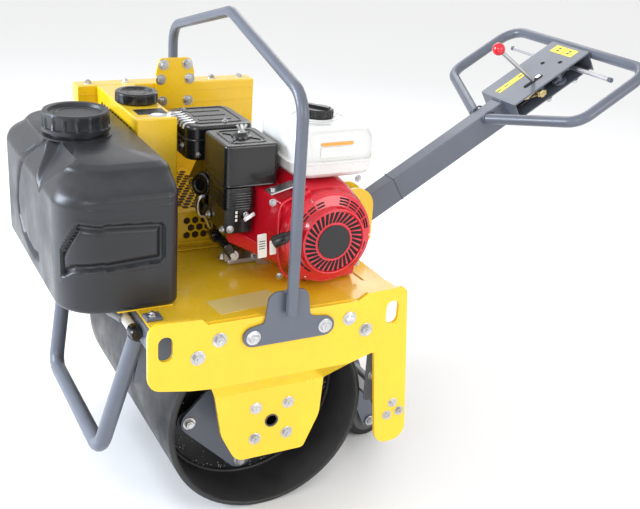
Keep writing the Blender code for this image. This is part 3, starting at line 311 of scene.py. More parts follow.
def put_tube(shape, path, radius, sides=12, closed=False):
    """Adds a round tube along points, with steady rings; radius may be a list."""
    points = [Vector(point) for point in path]
    count = len(points)
    rings = []
    normal = None
    for index, point in enumerate(points):
        before = points[index - 1] if index or closed else point
        after = points[(index + 1) % count] if index < count - 1 or closed else point
        along = (after - before).normalized()
        if normal is None:
            normal = along.orthogonal().normalized()
        normal = (normal - along * normal.dot(along)).normalized()
        across = along.cross(normal)
        wide = radius[index] if isinstance(radius, list) else radius
        rings.append([shape.verts.new(point + (normal * cos(turn) + across * sin(turn)) * wide)
                      for turn in turns(sides)])
    for lower, upper in zip(rings, rings[1:] + rings[:1] if closed else rings[1:]):
        skin(shape, lower, upper)
    if not closed:
        shape.faces.new(rings[0])
        shape.faces.new(rings[-1])


def curve_through(points, steps=6):
    """Catmull-Rom points through the given ones."""
    line = []
    for index, (b, c) in enumerate(zip(points, points[1:])):
        a = points[max(index - 1, 0)]
        d = points[min(index + 2, len(points) - 1)]
        for step in range(steps):
            t = step / steps
            spot = b * 2 + (c - a) * t + (a * 2 - b * 5 + c * 4 - d) * t * t
            spot += (b * 3 - a - c * 3 + d) * t * t * t
            line.append(spot / 2)
    return line + [points[-1]]


def put_bolt(shape, place, direction, across=0.013, height=0.0055, washer=True):
    """Adds a hexagon head with a chamfered top, a washer and the shank's end."""
    direction = Vector(direction).normalized()
    base = Vector(place)
    corner = across / sqrt(3)
    disc, rim, tip = 0.0016, 0.0012, 0.002
    if washer:
        put_lathe(shape, base, direction,
                  [(across * 0.82, 0), (across * 0.82, rim), (across * 0.78, disc), (0, disc)], 20)
        base = base + direction * disc
    put_lathe(shape, base, direction,
              [(corner, 0), (corner, height * 0.8), (corner * 0.86, height), (corner * 0.5, height),
               (corner * 0.5, height + tip), (0, height + tip)], 6, random.uniform(0, pi / 3))


def bolts(name, spots, out=None, body="frame", **sizes):
    """Plated heads: spots are places that share the direction out, or pairs of place and direction."""
    shape = bmesh.new()
    for spot in spots:
        place, direction = (spot, out) if out else spot
        put_bolt(shape, place, direction, **sizes)
    return piece(name, shape, ZINC, body, smooth=25)


def put_weld(shape, path, radius, seed):
    """Adds a weld bead: a rippled low tube along points."""
    picker = random.Random(seed)
    points = [Vector(point) for point in path]
    length = sum((b - a).length for a, b in zip(points, points[1:]))
    count = max(8, int(length / (radius * 0.55)))
    beads = []
    for index in range(count + 1):
        reach = length * index / count
        for a, b in zip(points, points[1:]):
            step = (b - a).length
            if reach <= step + 1e-9:
                beads.append(a + (b - a) * (reach / step if step else 0))
                break
            reach -= step
    ripple, jitter = 0.16, 0.06
    sizes = [radius * (1 + ripple * sin(index * 2.4) + picker.uniform(-jitter, jitter))
             for index in range(len(beads))]
    put_tube(shape, beads, sizes, 8)


def ribs_round(x, y, z, radius, size, angles):
    """Parts for build(): boxes in a level ring, each turned to face the middle."""
    places = level_ring(x, y, z, radius, angles)
    return [(put_box, place, size, rotation(turn, "Z")) for place, turn in zip(places, angles)]


def rounded_outline(u_low, v_low, u_high, v_high, radius, steps=5):
    line = []
    for cu, cv, start in ((u_high - radius, v_high - radius, 0), (u_low + radius, v_high - radius, 90),
                          (u_low + radius, v_low + radius, 180), (u_high - radius, v_low + radius, 270)):
        for step in range(steps + 1):
            turn = radians(start + 90 * step / steps)
            line.append((cu + radius * cos(turn), cv + radius * sin(turn)))
    return line


def put_band(shape, low, high, trim, radius, steps, z, bead, sides=6):
    """Adds a bead at height z round a box, drawn in from its sides by trim (one or four numbers)."""
    left, near, right, far = trim if isinstance(trim, tuple) else (trim,) * 4
    outline = rounded_outline(low.x + left, low.y + near, high.x - right, high.y - far, radius, steps)
    put_tube(shape, [at(u, v, z) for u, v in outline], bead, sides, True)


def face_matrix(place, right, up):
    """Puts X along right, Y along up and Z out of a face, at place."""
    right = Vector(right).normalized()
    up = Vector(up)
    up = (up - right * up.dot(right)).normalized()
    matrix = Matrix((right, up, right.cross(up))).transposed().to_4x4()
    matrix.translation = place
    return matrix


def label(name, place, right, up, width, height, look, body="frame", radius=0.002):
    """A blank sticker lying on a face: place is its middle, right and up its directions."""
    outline = rounded_outline(-width / 2, -height / 2, width / 2, height / 2, radius)
    build(name, look, (put_prism, outline, face_matrix(place, right, up), 0.0004), body=body, smooth=0)


# ---------------------------------------------------------------- camera and light
def make_camera():
    """Near front-left corner of the machine, looking slightly down, a little rolled."""
    lift = radians(22.3)
    heading = Vector((-0.4726, -0.8813, 0)).normalized()
    forward = heading * cos(lift) - Vector((0, 0, sin(lift)))
    level = forward.cross(Vector(UP)).normalized()
    upright = level.cross(forward)
    roll = asin(sin(radians(3.63)) / cos(lift))
    right = level * cos(roll) + upright * sin(roll)
    turn = Matrix((right, right.cross(forward), -forward)).transposed().to_4x4()
    data = bpy.data.cameras.new("camera")
    data.sensor_width = 36
    data.lens = 56.25
    data.clip_start = 0.05
    camera = bpy.data.objects.new("camera", data)
    camera.matrix_world = Matrix.Translation(at(0.758, 1.882, 1.297)) @ turn
    bpy.context.scene.collection.objects.link(camera)
    bpy.context.scene.camera = camera


def area_light(name, place, target, size, power, colour=(1, 1, 1)):
    data = bpy.data.lights.new(name, "AREA")
    data.shape = "RECTANGLE"
    data.size, data.size_y = size
    data.energy = power
    data.color = colour
    lamp = bpy.data.objects.new(name, data)
    aim = (Vector(target) - Vector(place)).normalized()
    lamp.matrix_world = Matrix.Translation(place) @ turn_to(-aim)
    bpy.context.scene.collection.objects.link(lamp)


def make_studio():
    half = 30.0
    shape = bmesh.new()
    corners = ((-half, -half, 0), (half, -half, 0), (half, half, 0), (-half, half, 0))
    shape.faces.new([shape.verts.new(corner) for corner in corners])
    data = bpy.data.meshes.new("floor")
    shape.to_mesh(data)
    shape.free()
    made = bpy.data.materials.new("studio_floor")
    made.use_nodes = True
    shader = made.node_tree.nodes["Principled BSDF"].inputs
    shader["Base Color"].default_value = (0.93, 0.93, 0.93, 1)
    shader["Roughness"].default_value = 0.75
    data.materials.append(made)
    floor = bpy.data.objects.new("floor", data)
    scene = bpy.context.scene
    scene.collection.objects.link(floor)
    world = bpy.data.worlds.new("studio")
    world.use_nodes = True
    background = world.node_tree.nodes["Background"].inputs
    background["Color"].default_value = (1, 1, 1, 1)
    background["Strength"].default_value = 0.92
    scene.world = world
    middle = at(0, 0, 0.45)
    area_light("front", at(2.6, -0.9, 1.5), middle, (1.4, 1.2), 110, (0.78, 0.87, 1.0))
    area_light("key", at(1.8, 2.4, 1.7), middle, (1.2, 1.2), 22)
    area_light("side", at(-1.4, 2.6, 1.4), middle, (1.4, 1.4), 22)
    area_light("back", at(-1.5, -2.2, 2.2), middle, (1.8, 1.2), 16)
    scene.view_settings.view_transform = "Standard"


# ---------------------------------------------------------------- drum and frame
def make_drum_details():
    shell = 0.012
    web_step = 0.032
    toe = 0.004
    inner = AXLE - shell
    web = extent("drum_web_left")[1].y - web_step
    plate = extent("drive_plate_left")[1].y
    hub = extent("drum_hub_left")[1].y
    for side, word in SIDES:
        out = (0, side, 0)
        seam = upright_ring(0, side * (web + 0.003), AXLE, inner - toe, turns(180, 1))
        build(f"web_weld_{word}", DRUM, (put_weld, seam, 0.0055, 3), body="drum", smooth=60)
        angles = [radians(base + swing) for base in (-45, 135) for swing in (-34, 34)]
        bolts(f"drive_plate_bolts_{word}", upright_ring(0, side * plate, AXLE, 0.146, angles), out, "drum",
              across=0.017, height=0.007)
        angles = [radians(60 * index + 15) for index in range(6)]
        bolts(f"hub_bolts_{word}", upright_ring(0, side * hub, AXLE, 0.036, angles), out, "drum",
              across=0.01, height=0.004, washer=False)
        shape = bmesh.new()
        picker = random.Random(11)
        for _ in range(420):
            turn = picker.uniform(0, 2 * pi)
            reach = inner - picker.expovariate(1 / 0.01) - toe
            spot, = upright_ring(0, side * (web + 0.0004), AXLE, reach, [turn])
            size = picker.uniform(0.0007, 0.0021)
            bmesh.ops.create_icosphere(shape, subdivisions=1, radius=size, matrix=Matrix.Translation(spot))
        piece(f"weld_spatter_{word}", shape, ALLOY, "drum", smooth=60)


def make_frame_bolts():
    plate = extent("side_plate_left")[1].y
    lobe = extent("axle_left")[1].y + 0.0083
    for side, word in SIDES:
        out = (0, side, 0)
        for name, places, across, height in (
                ("deck", ((0.178, 0.411), (0.136, 0.441), (-0.136, 0.441), (-0.175, 0.41)), 0.018, 0.0075),
                ("axle", [(x * 0.0354, AXLE + z * 0.0354) for x in (-1, 1) for z in (-1, 1)], 0.016, 0.007),
                ("leg", ((-0.256, 0.226), (-0.274, 0.203), (-0.245, 0.198)), 0.013, 0.006)):
            y = side * (lobe if name == "axle" else plate)
            spots = [at(x, y, z) for x, z in places]
            bolts(f"{name}_bolts_{word}", spots, out, across=across, height=height)
        build(f"axle_end_{word}", IRON,
              (put_lathe, at(0, side * lobe, AXLE), out,
               [(0.0145, -0.003), (0.0145, 0.0015), (0.0125, 0.002), (0.0115, 0.001), (0.0115, -0.003),
                (0.0145, -0.003)], 28),
              (put_lathe, at(0, side * (lobe - 0.004), AXLE), out,
               [(0.0115, -0.003), (0.0115, 0.0005), (0.007, 0.0008), (0.0045, -0.002), (0, -0.002)], 28))
    bracket = extent("hoop_bracket_left")[1].y
    bolts("hoop_foot_bolts", [at(0.071, bracket, 0.437), at(-0.079, bracket, 0.438)], LEFT,
          across=0.018, height=0.008)
    face = extent("hoop_bracket_right")[1].y
    places = ((0.028, 0.809), (-0.029, 0.809), (0.035, 0.775), (-0.034, 0.775), (-0.031, 0.724),
              (0.031, 0.724))
    bolts("hoop_top_bolts", [at(x, face, z) for x, z in places], LEFT, across=0.015, height=0.006)
    outer = extent("lifting_hoop")[1].y
    shape = bmesh.new()
    for turn in (-0.9, 0.9):
        foot = [at(0.0115 * sin(turn), outer - 0.0055 - 0.011 * cos(turn), z)
                for z in (0.482, 0.497, 0.512, 0.524)]
        put_weld(shape, foot, 0.0028, 5)
    arch = [at(0.0125 * cos(turn), outer - 0.0165, 0.524 + 0.006 * sin(turn))
            for turn in turns(20, 1)[:11]]
    put_weld(shape, arch, 0.0024, 6)
    piece("hoop_welds", shape, GREY, smooth=60)


def make_front_details():
    guard_y = extent("front_guard")[1].y - 0.0175
    bar_low, bar_high = extent("front_bar")
    shape = bmesh.new()
    for side in (1, -1):
        x = bar_high.x - 0.004
        ring = [at(x + 0.0165 * cos(turn), side * guard_y + 0.017 * sin(turn), bar_low.z - 0.0015)
                for turn in (pi * index / 8 for index in range(-8, 1))]
        put_weld(shape, ring, 0.0026, 8)
        for end in (-0.0035, 0.0035):
            line = [at(0.232 + 0.028 * t, side * (0.23 + end), bar_low.z - 0.002) for t in (0, 0.5, 1)]
            put_weld(shape, line, 0.0022, 9)
    piece("guard_welds", shape, GREY, smooth=60)

    pipe_low, pipe_high = extent("spray_pipe")
    mid_x, mid_z = (pipe_low.x + pipe_high.x) / 2, (pipe_low.z + pipe_high.z) / 2
    plug = [(0.0125, -0.018), (0.0125, 0.004), (0.0105, 0.008), (0, 0.008)]
    build("spray_pipe_caps", BLACK,
          *((put_lathe, at(mid_x, side * pipe_high.y, mid_z), (0, side, 0), plug, 24) for side in (1, -1)))
    # Painted shade: small dark cones stand for the shaded insides of the spray holes.
    jet = [(0.0016, 0), (0.001, 0.0008), (0, 0.0004)]
    build("spray_hole_shade", HOLE_SHADE,
          *((put_lathe, at(mid_x + 0.007, -0.27 + 0.54 * index / 14, mid_z - 0.0072), (0.7, 0, -0.7), jet, 8)
            for index in range(15)))
    angles = [radians(angle) for angle in range(-150, 151, 15)]
    build("spray_pipe_clips", ZINC,
          *((put_tube, upright_ring(mid_x, y, mid_z, 0.0122, angles), 0.0022, 8) for y in (-0.17, 0.17)))

    under = extent("water_tank")[0].z
    route = [at(*spot) for spot in
             ((0.338, 0.075, under + 0.002), (0.337, 0.078, 0.474), (0.333, 0.105, 0.462), (0.318, 0.15, 0.458),
              (0.302, 0.195, 0.456), (0.293, 0.215, 0.454), (0.285, 0.232, 0.452))]
    raised = [point + Vector((0.002, 0, 0.016)) for point in route[1:]]
    build("feed_pipe", HOSE, (put_tube, curve_through(route, 8), 0.0075, 14),
          (put_tube, curve_through(raised, 8), 0.006, 14), smooth=50)
    build("tank_outlet", BLACK,
          (put_lathe, at(0.338, 0.075, under - 0.014), UP,
           [(0.0115, 0), (0.0125, 0.003), (0.0125, 0.014), (0.016, 0.0145), (0.016, 0.02), (0, 0.02)], 24))
    deck = extent("deck_plate")[1].z
    gusset = [(0, 0), (0.03, 0), (0.03, 0.00884), (0.018, 0.0102), (0, 0.00408)]
    for side, word in SIDES:
        y = side * 0.3
        build(f"tank_bracket_{word}", GREY,
              (put_prism, gusset, face_matrix(at(0.262, y - 0.015, deck), LEFT, UP), -0.004),
              (put_box, at(0.246, y, deck + 0.003), (0.03, 0.03, 0.005)), smooth=0, bevel=0.0008)
        bolts(f"tank_bracket_bolt_{word}", [at(0.247, y, deck + 0.0055)], UP, across=0.012, height=0.005)


def hex_panel(name, place, right, up, width, height, pitch):
    """Hexagonal openings, dark hollows in a face: place is the lower left corner."""
    matrix = face_matrix(place, right, up)
    corner = pitch * 0.43
    shape = bmesh.new()
    row = 0
    v = pitch / 2
    while v <= height - pitch / 2:
        u = pitch / 2 + (pitch / 2 if row % 2 else 0)
        while u <= width - pitch / 2:
            outline = [(u + corner * sin(turn), v + corner * cos(turn)) for turn in turns(6)]
            put_prism(shape, outline, matrix, 0.0006)
            u += pitch
        v += pitch * sqrt(3) / 2
        row += 1
    piece(name, shape, MESH_DARK, smooth=0)


def make_cover_details():
    low, high = extent("oil_tank")
    top = high.z
    hex_panel("oil_tank_mesh", at(high.x, -0.275, top - 0.1), LEFT, UP, 0.25, 0.09, 0.021)
    pump_low, pump_high = extent("pump_guard")
    hex_panel("pump_guard_mesh", at(pump_high.x - 0.012, pump_high.y, pump_high.z - 0.062), (-1, 0, 0), UP,
              0.1, 0.056, 0.019)
    hex_panel("pump_guard_mesh_top", at(pump_low.x + 0.01, -0.27, pump_high.z), FRONT, LEFT,
              0.105, 0.25, 0.019)
    reach = high.x - pump_low.x
    middle = (low.x + pump_low.x) / 2
    build("guard_lips", YELLOW,
          (put_box, at(middle + 0.02, high.y + 0.004, pump_high.z - 0.067), (reach - 0.02, 0.008, 0.004)),
          (put_box, at(middle, high.y + 0.009, 0.4815), (reach, 0.018, 0.0035)), smooth=0, bevel=0.0008)
    label("oil_tank_label", at(0.137, -0.055, top), LEFT, (-1, 0, 0), 0.042, 0.062, LABEL_DARK)
    circle = [(cos(turn), sin(turn)) for turn in turns(40)]
    for name, look, lift, thick, wide, tall in (
            ("oval_label", LABEL_BLUE, 0, 0.0004, 0.018, 0.016),
            ("oval_label_middle", LABEL_PALE, 0.0004, 0.0002, 0.013, 0.011)):
        matrix = Matrix.Translation(at(0.13, -0.03, top + lift)) @ Matrix.Diagonal((wide, tall, 1, 1))
        build(name, look, (put_prism, circle, matrix, thick), smooth=0)
    belt_low, belt_high = extent("belt_guard")
    mid = (belt_low.y + belt_high.y) / 2
    places = (belt_low.x + 0.03, -0.1, 0.11, belt_high.x - 0.03)
    bolts("belt_guard_bolts", [at(x, mid, belt_high.z) for x in places], UP, across=0.012, height=0.005)
    fold = (belt_high.x - belt_low.x - 0.008, 0.0016, 0.0025)
    build("belt_guard_folds", YELLOW,
          *((put_box, at((belt_low.x + belt_high.x) / 2, belt_high.y + 0.0004, belt_high.z - drop), fold)
            for drop in (0.02, 0.048)), smooth=0, bevel=0.0005)
    bolts("oil_tank_bolt", [at(0.106, -0.015, top)], UP, across=0.012, height=0.005)
    label("deck_label", at(0.06, 0.29, extent("deck_plate")[1].z), (0.98, 0.1, 0), (-0.1, 0.98, 0),
          0.135, 0.062, LABEL_SAND)
    cap_low, cap_high = extent("oil_cap")
    x, y, z = (cap_low + cap_high) / 2
    rib = (0.003, 0.004, cap_high.z - cap_low.z - 0.006)
    build("oil_cap_ribs", BLACK,
          *ribs_round(x, y, z, 0.0446, rib, turns(10)),
          *((put_tube, level_ring(x, y, cap_high.z - 0.004, radius, turns(40)), 0.0012, 6, True)
            for radius in (0.03, 0.02)), smooth=0, bevel=0.0006)


# ---------------------------------------------------------------- water tank
CORNER = 0.078
REAR_CORNER = CORNER * 0.3
FOOT = 0.013
GROOVE = [(0.03, 0.752), (-0.02, 0.715), (-0.07, 0.672), (-0.1, 0.63), (-0.113, 0.59),
          (-0.103, 0.556), (-0.07, 0.532), (-0.02, 0.52), (0.03, 0.518), (0.065, 0.526)]
HOLLOW = [(-0.055, 0.548), (0, 0.566), (0.163, 0.574), (0.17, 0.582), (0.17, 0.645),
          (0.163, 0.652), (0.024, 0.66), (-0.055, 0.6)]


def smooth_step(value):
    value = min(max(value, 0.0), 1.0)
    return value * value * (3 - 2 * value)


def hump(gap, width):
    return exp(-(gap / width) ** 2)


def near_path(u, v, path):
    best = 1e9
    for (au, av), (bu, bv) in zip(path, path[1:]):
        du, dv = bu - au, bv - av
        t = ((u - au) * du + (v - av) * dv) / (du * du + dv * dv)
        t = min(max(t, 0.0), 1.0)
        best = min(best, hypot(u - au - du * t, v - av - dv * t))
    return best


def inside(u, v, loop):
    hit = False
    for (au, av), (bu, bv) in zip(loop, loop[1:] + loop[:1]):
        if (av > v) != (bv > v) and u < (bu - au) * (v - av) / (bv - av) + au:
            hit = not hit
    return hit


def tank_outline(back, front, side, steps=26, straight_side=90, straight_end=140):
    """Places and outward directions round the tank at one level, close together on straight runs."""
    groups = []
    for x, y, radius, start in ((front - CORNER, side - CORNER, CORNER, 0),
                                (back + REAR_CORNER, side - REAR_CORNER, REAR_CORNER, 90),
                                (back + REAR_CORNER, REAR_CORNER - side, REAR_CORNER, 180),
                                (front - CORNER, CORNER - side, CORNER, 270)):
        angles = [radians(start + 90 * step / steps) for step in range(steps + 1)]
        groups.append([(x + radius * cos(turn), y + radius * sin(turn), cos(turn), sin(turn))
                       for turn in angles])
    line = []
    for group, following, count in zip(groups, groups[1:] + groups[:1], (straight_side, straight_end) * 2):
        line += group
        x, y, *normal = group[-1]
        to_x, to_y = following[0][:2]
        for step in range(1, count):
            mix = step / count
            line.append((x + (to_x - x) * mix, y + (to_y - y) * mix, *normal))
    return line


def tank_depth(x, y, z, nx, ny, front, side):
    """How far the tank's face is sunk at a place: channel, framed hollows, seams and the cap's pocket."""
    depth = 0.0
    if nx > 0.3:
        depth += 0.011 * hump(near_path(y, z, GROOVE), 0.0068) * min(1.0, (nx - 0.3) * 3)
    if nx > -0.001 and abs(y) > 0.1:
        if nx > 0.999:
            along = abs(y) - (side - CORNER) - CORNER * 0.78
        elif abs(ny) > 0.999:
            along = (front - CORNER) - x + CORNER * 0.78
        else:
            along = CORNER * (atan2(abs(ny), nx) * 2 - pi / 2) * 0.99
        edge = near_path(along, z, HOLLOW + HOLLOW[:1])
        if inside(along, z, HOLLOW):
            depth += 0.0025 * smooth_step(edge / 0.006) + 0.007 * hump(edge - 0.007, 0.0062)
        else:
            depth -= 0.0008 * hump(edge - 0.004, 0.004)
    if abs(ny) > 0.9:
        depth += 0.0016 * hump(z - 0.703, 0.003)
        depth += 0.0012 * hump(z - 0.688, 0.003)
    pocket_low, pocket_tall = 0.668, 0.084
    if nx > 0.5 and z > pocket_low:
        rise = (z - pocket_low) / pocket_tall
        depth += 0.028 * smooth_step((0.075 * rise - abs(y - 0.105)) / 0.012 + 0.5) * rise
    return depth


def make_water_tank():
    """Moulded tank: chamfered shoulders, a curved channel in front and framed hollows at its ends."""
    low, high = extent("water_tank")
    body_top = high.z - 0.036
    count_rows = 126
    shape = bmesh.new()
    rings = []
    for row in range(count_rows):
        z = low.z + (body_top - low.z) * row / (count_rows - 1)
        under = max(0.0, FOOT - (z - low.z))
        inset = FOOT - sqrt(max(FOOT ** 2 - under ** 2, 0)) if under > 0 else 0.0
        shoulder = smooth_step((z - (body_top - 0.046)) / 0.04) * 0.052
        shoulder += max(0.0, z - (body_top - 0.008)) * 2.2
        brow = smooth_step((z - (body_top - 0.062)) / 0.06) * 0.03
        back = low.x + inset * 0.8 + max(0.0, z - (body_top - 0.01)) * 0.9
        front, side = high.x - inset - brow, high.y - inset - shoulder
        ring = []
        for x, y, nx, ny in tank_outline(back, front, side):
            depth = tank_depth(x, y, z, nx, ny, front, side)
            ring.append(shape.verts.new(at(x - nx * depth, y - ny * depth, z)))
        rings.append(ring)
    for lower, upper in zip(rings, rings[1:]):
        skin(shape, lower, upper)
    shape.faces.new(rings[0])
    neck_low, neck_high = extent("water_cap")
    neck = (neck_low + neck_high) / 2
    inner = rings[-1]
    flange = (neck_high.x - neck_low.x) / 2 + 0.002
    mouth = flange - 0.014
    for radius, height in ((flange, body_top + 0.001), (flange, body_top + 0.004),
                           (flange - 0.005, body_top + 0.005), (mouth, body_top + 0.005),
                           (mouth, high.z - 0.001)):
        ring = []
        for vert in rings[-1]:
            away = Vector((vert.co.x - ORIGIN.x - neck.x, vert.co.y - ORIGIN.y - neck.y))
            away = away.normalized() * radius
            ring.append(shape.verts.new(at(neck.x + away.x, neck.y + away.y, height)))
        skin(shape, inner, ring)
        inner = ring
    shape.faces.new(inner)
    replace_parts(piece("moulded_water_tank", shape, PLASTIC, smooth=50), "water_tank")


def make_tank_cap():
    low, high = extent("water_cap")
    sides = 144
    flutes = 16
    edge, tall = (high.x - low.x) / 2, high.z - low.z
    middle = (low + high) / 2
    skirt = [(0.0, 0.0005, 0), (0.007, 0, 0), (0.009, 0.003, 1), (tall - 0.014, 0.0035, 1)]
    crown = [(0.008, 0.0025, 0.3), (0.003, 0.0025, 0), (0.0002, 0.0045, 0), (0, 0.0085, 0),
             (0.0015, 0.0125, 0), (0.007, 0.0155, 0), (0.008, 0.0245, 0), (0.0068, 0.026, 0), (0.0068, 0.0285, 0),
             (0.0082, 0.03, 0), (0.0085, edge, 0)]
    shape = bmesh.new()
    rings = []
    for height, trim, flute in skirt + [(tall - drop, trim, flute) for drop, trim, flute in crown]:
        ring = []
        for turn in turns(sides) if trim < edge else [0]:
            wave = (turn * flutes / (2 * pi)) % 1.0
            notch = smooth_step((0.16 - abs(wave - 0.5)) / 0.05)
            wide = edge - trim + flute * (0.003 * notch - 0.0012)
            ring += level_ring(middle.x, middle.y, min(low.z + height, high.z), wide, [turn])
        rings.append([shape.verts.new(place) for place in ring])
    for lower, upper in zip(rings, rings[1:]):
        skin(shape, lower, upper)
    shape.faces.new(rings[0])
    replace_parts(piece("ribbed_tank_cap", shape, PLASTIC, smooth=35), "water_cap")


# ---------------------------------------------------------------- engine
def make_recoil():
    low, high = extent("recoil_starter")
    face = high.y
    x, _, z = (low + high) / 2
    inner, outer, lean, wide = 0.04, 0.0615, 0.16, 0.0027
    # Painted shade: thin dark sheets on the starter face stand for the shade seen through its slots.
    matrix = face_matrix(at(x, face, z), FRONT, UP)
    shape = bmesh.new()
    for turn in turns(34):
        outline = []
        for radius, offset in ((inner, -wide), (outer, -wide * 1.25), (outer, wide * 1.25), (inner, wide)):
            swing = turn + offset / radius + lean * (radius - inner) / (outer - inner)
            outline.append((radius * cos(swing), radius * sin(swing)))
        put_prism(shape, outline, matrix, -0.0005)
    piece("recoil_slot_shade", shape, HOLE_SHADE, smooth=0)
    disc = [(0.0345, 0), (0.0345, 0.0016), (0.0335, 0.0022), (0, 0.0022)]
    build("recoil_disc", LABEL_DARK, (put_lathe, at(x, face, z), LEFT, disc, 64))
    build("recoil_rims", RED,
          *((put_tube, upright_ring(x, y, z, radius, turns(72)), bead, 8, True) for radius, bead, y in
            ((0.0362, 0.0012, face), (0.0655, 0.0024, face), (0.091, 0.0018, low.y + 0.0265))), smooth=60)
    # Painted shade: dark strips round the cover stand for the shade inside its vent slits.
    shape = bmesh.new()
    for start, end, radii in ((100, 172, (0.073, 0.0785, 0.084)), (18, 78, (0.0735, 0.0795)),
                              (190, 235, (0.0745, 0.081)), (300, 350, (0.075,))):
        for radius in radii:
            y = low.y + 0.031 + (0.0858 - radius) * 0.27
            pieces = max(3, int((end - start) / 15))
            for part in range(pieces):
                first = start + (end - start) * part / pieces + 1.6
                last = start + (end - start) * (part + 1) / pieces - 1.6
                angles = [radians(first + (last - first) * index / 5) for index in range(6)]
                put_tube(shape, upright_ring(x, y, z, radius, angles), 0.0016, 6)
    piece("recoil_vent_shade", shape, HOLE_SHADE, smooth=60)

    ears = [radians(angle) for angle in (62, 182, 302)]
    bolts("recoil_bolts", upright_ring(x, low.y + 0.0235, z, 0.0885, ears), LEFT,
          across=0.009, height=0.004, washer=False)
    places = upright_ring(x, low.y + 0.004, z, 0.0885, ears)
    build("recoil_ears", RED, *((put_box, place, (0.03, 0.012, 0.024), rotation(-turn))
                                for place, turn in zip(places, ears)), smooth=0, bevel=0.003, segments=3)

    # starter handle and its rope guide
    grip = at(-0.024, 0.297, 0.607)
    axis = (at(0.002, 0.289, 0.594) - grip).normalized()
    shape = bmesh.new()
    put_lathe(shape, grip - axis * 0.006, axis,
              [(0.006, 0), (0.0085, 0.003), (0.0085, 0.01), (0.0105, 0.013), (0.0115, 0.024),
               (0.012, 0.038), (0.0105, 0.0405), (0.006, 0.042), (0, 0.042)], 24)
    for turn in turns(8):
        away = axis.orthogonal().normalized()
        away.rotate(Matrix.Rotation(turn, 3, axis))
        rib = [grip + axis * reach + away * radius for reach, radius in ((0.009, 0.0104), (0.031, 0.0118))]
        put_tube(shape, rib, 0.0013, 6)
    piece("starter_grip", shape, BLACK, smooth=40)
    build("rope_guide", ZINC, (put_lathe, grip - axis * 0.02, axis,
                               [(0.008, 0), (0.01, 0.002), (0.01, 0.01), (0.006, 0.014), (0, 0.014)], 20))


def make_fan_cover_details():
    face = extent("fan_cover")[1].y
    right, up = (-1, 0, 0.06), (0.06, 0, 1)
    label("cover_label_tall", at(0.011, face + 0.0003, 0.572), right, up, 0.019, 0.05, LABEL_PALE)
    label("cover_label_small", at(-0.012, face + 0.0003, 0.566), right, up, 0.014, 0.03, LABEL_PALE)
    build("cover_label_marks", LABEL_DARK,
          *((put_box, at(0.011, face + 0.0009, height), (0.0125, 0.0003, 0.0016), rotation(radians(3.4)))
            for height in (0.5665, 0.5715, 0.5765, 0.5815)), smooth=0)
    rim = [at(x, face - sunk, z) for x, sunk, z in
           ((-0.058, 0.002, 0.49), (-0.036, 0.002, 0.512), (-0.026, 0.003, 0.545), (-0.024, 0.004, 0.61),
            (-0.028, 0.004, 0.65), (-0.06, 0.003, 0.668), (-0.08, 0.003, 0.684))]
    build("cover_edge_bead", RED, (put_tube, curve_through(rim), 0.003, 8), smooth=60)
    bolts("cover_bolts", [(at(-0.032, face - 0.006, 0.5), (0.4, 1, 0)),
                          (at(-0.012, face - 0.01, 0.655), (0.2, 1, 0.3)),
                          (at(-0.205, face - 0.006, 0.505), (-0.3, 1, 0))], across=0.009, height=0.004)
    build("throttle_bracket", ZINC,
          (put_box, at(-0.035, face - 0.02, 0.68), (0.06, 0.03, 0.003), rotation(radians(14))),
          (put_lathe, at(-0.012, face - 0.014, 0.676), UP, [(0.006, 0), (0.006, 0.008), (0, 0.009)], 16),
          bevel=0.0008)


def make_engine_feet():
    deck = extent("deck_plate")[1].z
    foot = (0.075, 0.038, 0.012)
    build("engine_feet", ALLOY,
          (put_box, at(-0.01, 0.1, deck + 0.007), foot),
          (put_box, at(0.02, 0.1, deck + 0.02), (0.026, 0.03, 0.026)),
          (put_box, at(-0.01, -0.02, deck + 0.007), foot), bevel=0.003)
    build("oil_sensor", BLACK,
          (put_box, at(0.03, 0.115, deck + 0.042), (0.02, 0.05, 0.034), rotation(radians(30))),
          (put_box, at(0.04, 0.075, deck + 0.055), (0.022, 0.03, 0.02), rotation(radians(20))), bevel=0.003)
    build("oil_plug", ALLOY,
          (put_lathe, at(0.015, 0.125, deck + 0.03), (0.5, 0.86, 0.1),
           [(0.012, 0), (0.012, 0.014), (0.0105, 0.017), (0.006, 0.017), (0.006, 0.021), (0, 0.021)], 24))
    spots = [(at(0.018, 0.108, deck + 0.033), (0, 0.2, 1)), (at(-0.034, 0.108, deck + 0.013), UP),
             (at(0.034, 0.104, deck + 0.0135), UP), (at(0.02, -0.02, deck + 0.013), UP)]
    bolts("engine_foot_bolts", spots, across=0.012, height=0.006)
    # cylinder fins and head cover
    lean = radians(25)
    tilt = rotation(-lean)
    crank = Vector((-0.119, 0, 0.584))
    along = Vector((cos(lean), 0, sin(lean)))
    fins = [crank + along * (0.104 + 0.0078 * index) for index in range(8)]
    build("cylinder_fins", ALLOY, *((put_box, at(spot.x, 0, spot.z - 0.004), (0.0022, 0.136, 0.078), tilt)
                                    for spot in fins), smooth=0, bevel=0.0004)
    head = crank + along * 0.17
    build("head_cover", BLACK, (put_box, at(head.x, -0.004, head.z - 0.012), (0.016, 0.095, 0.066), tilt),
          bevel=0.005, segments=3)


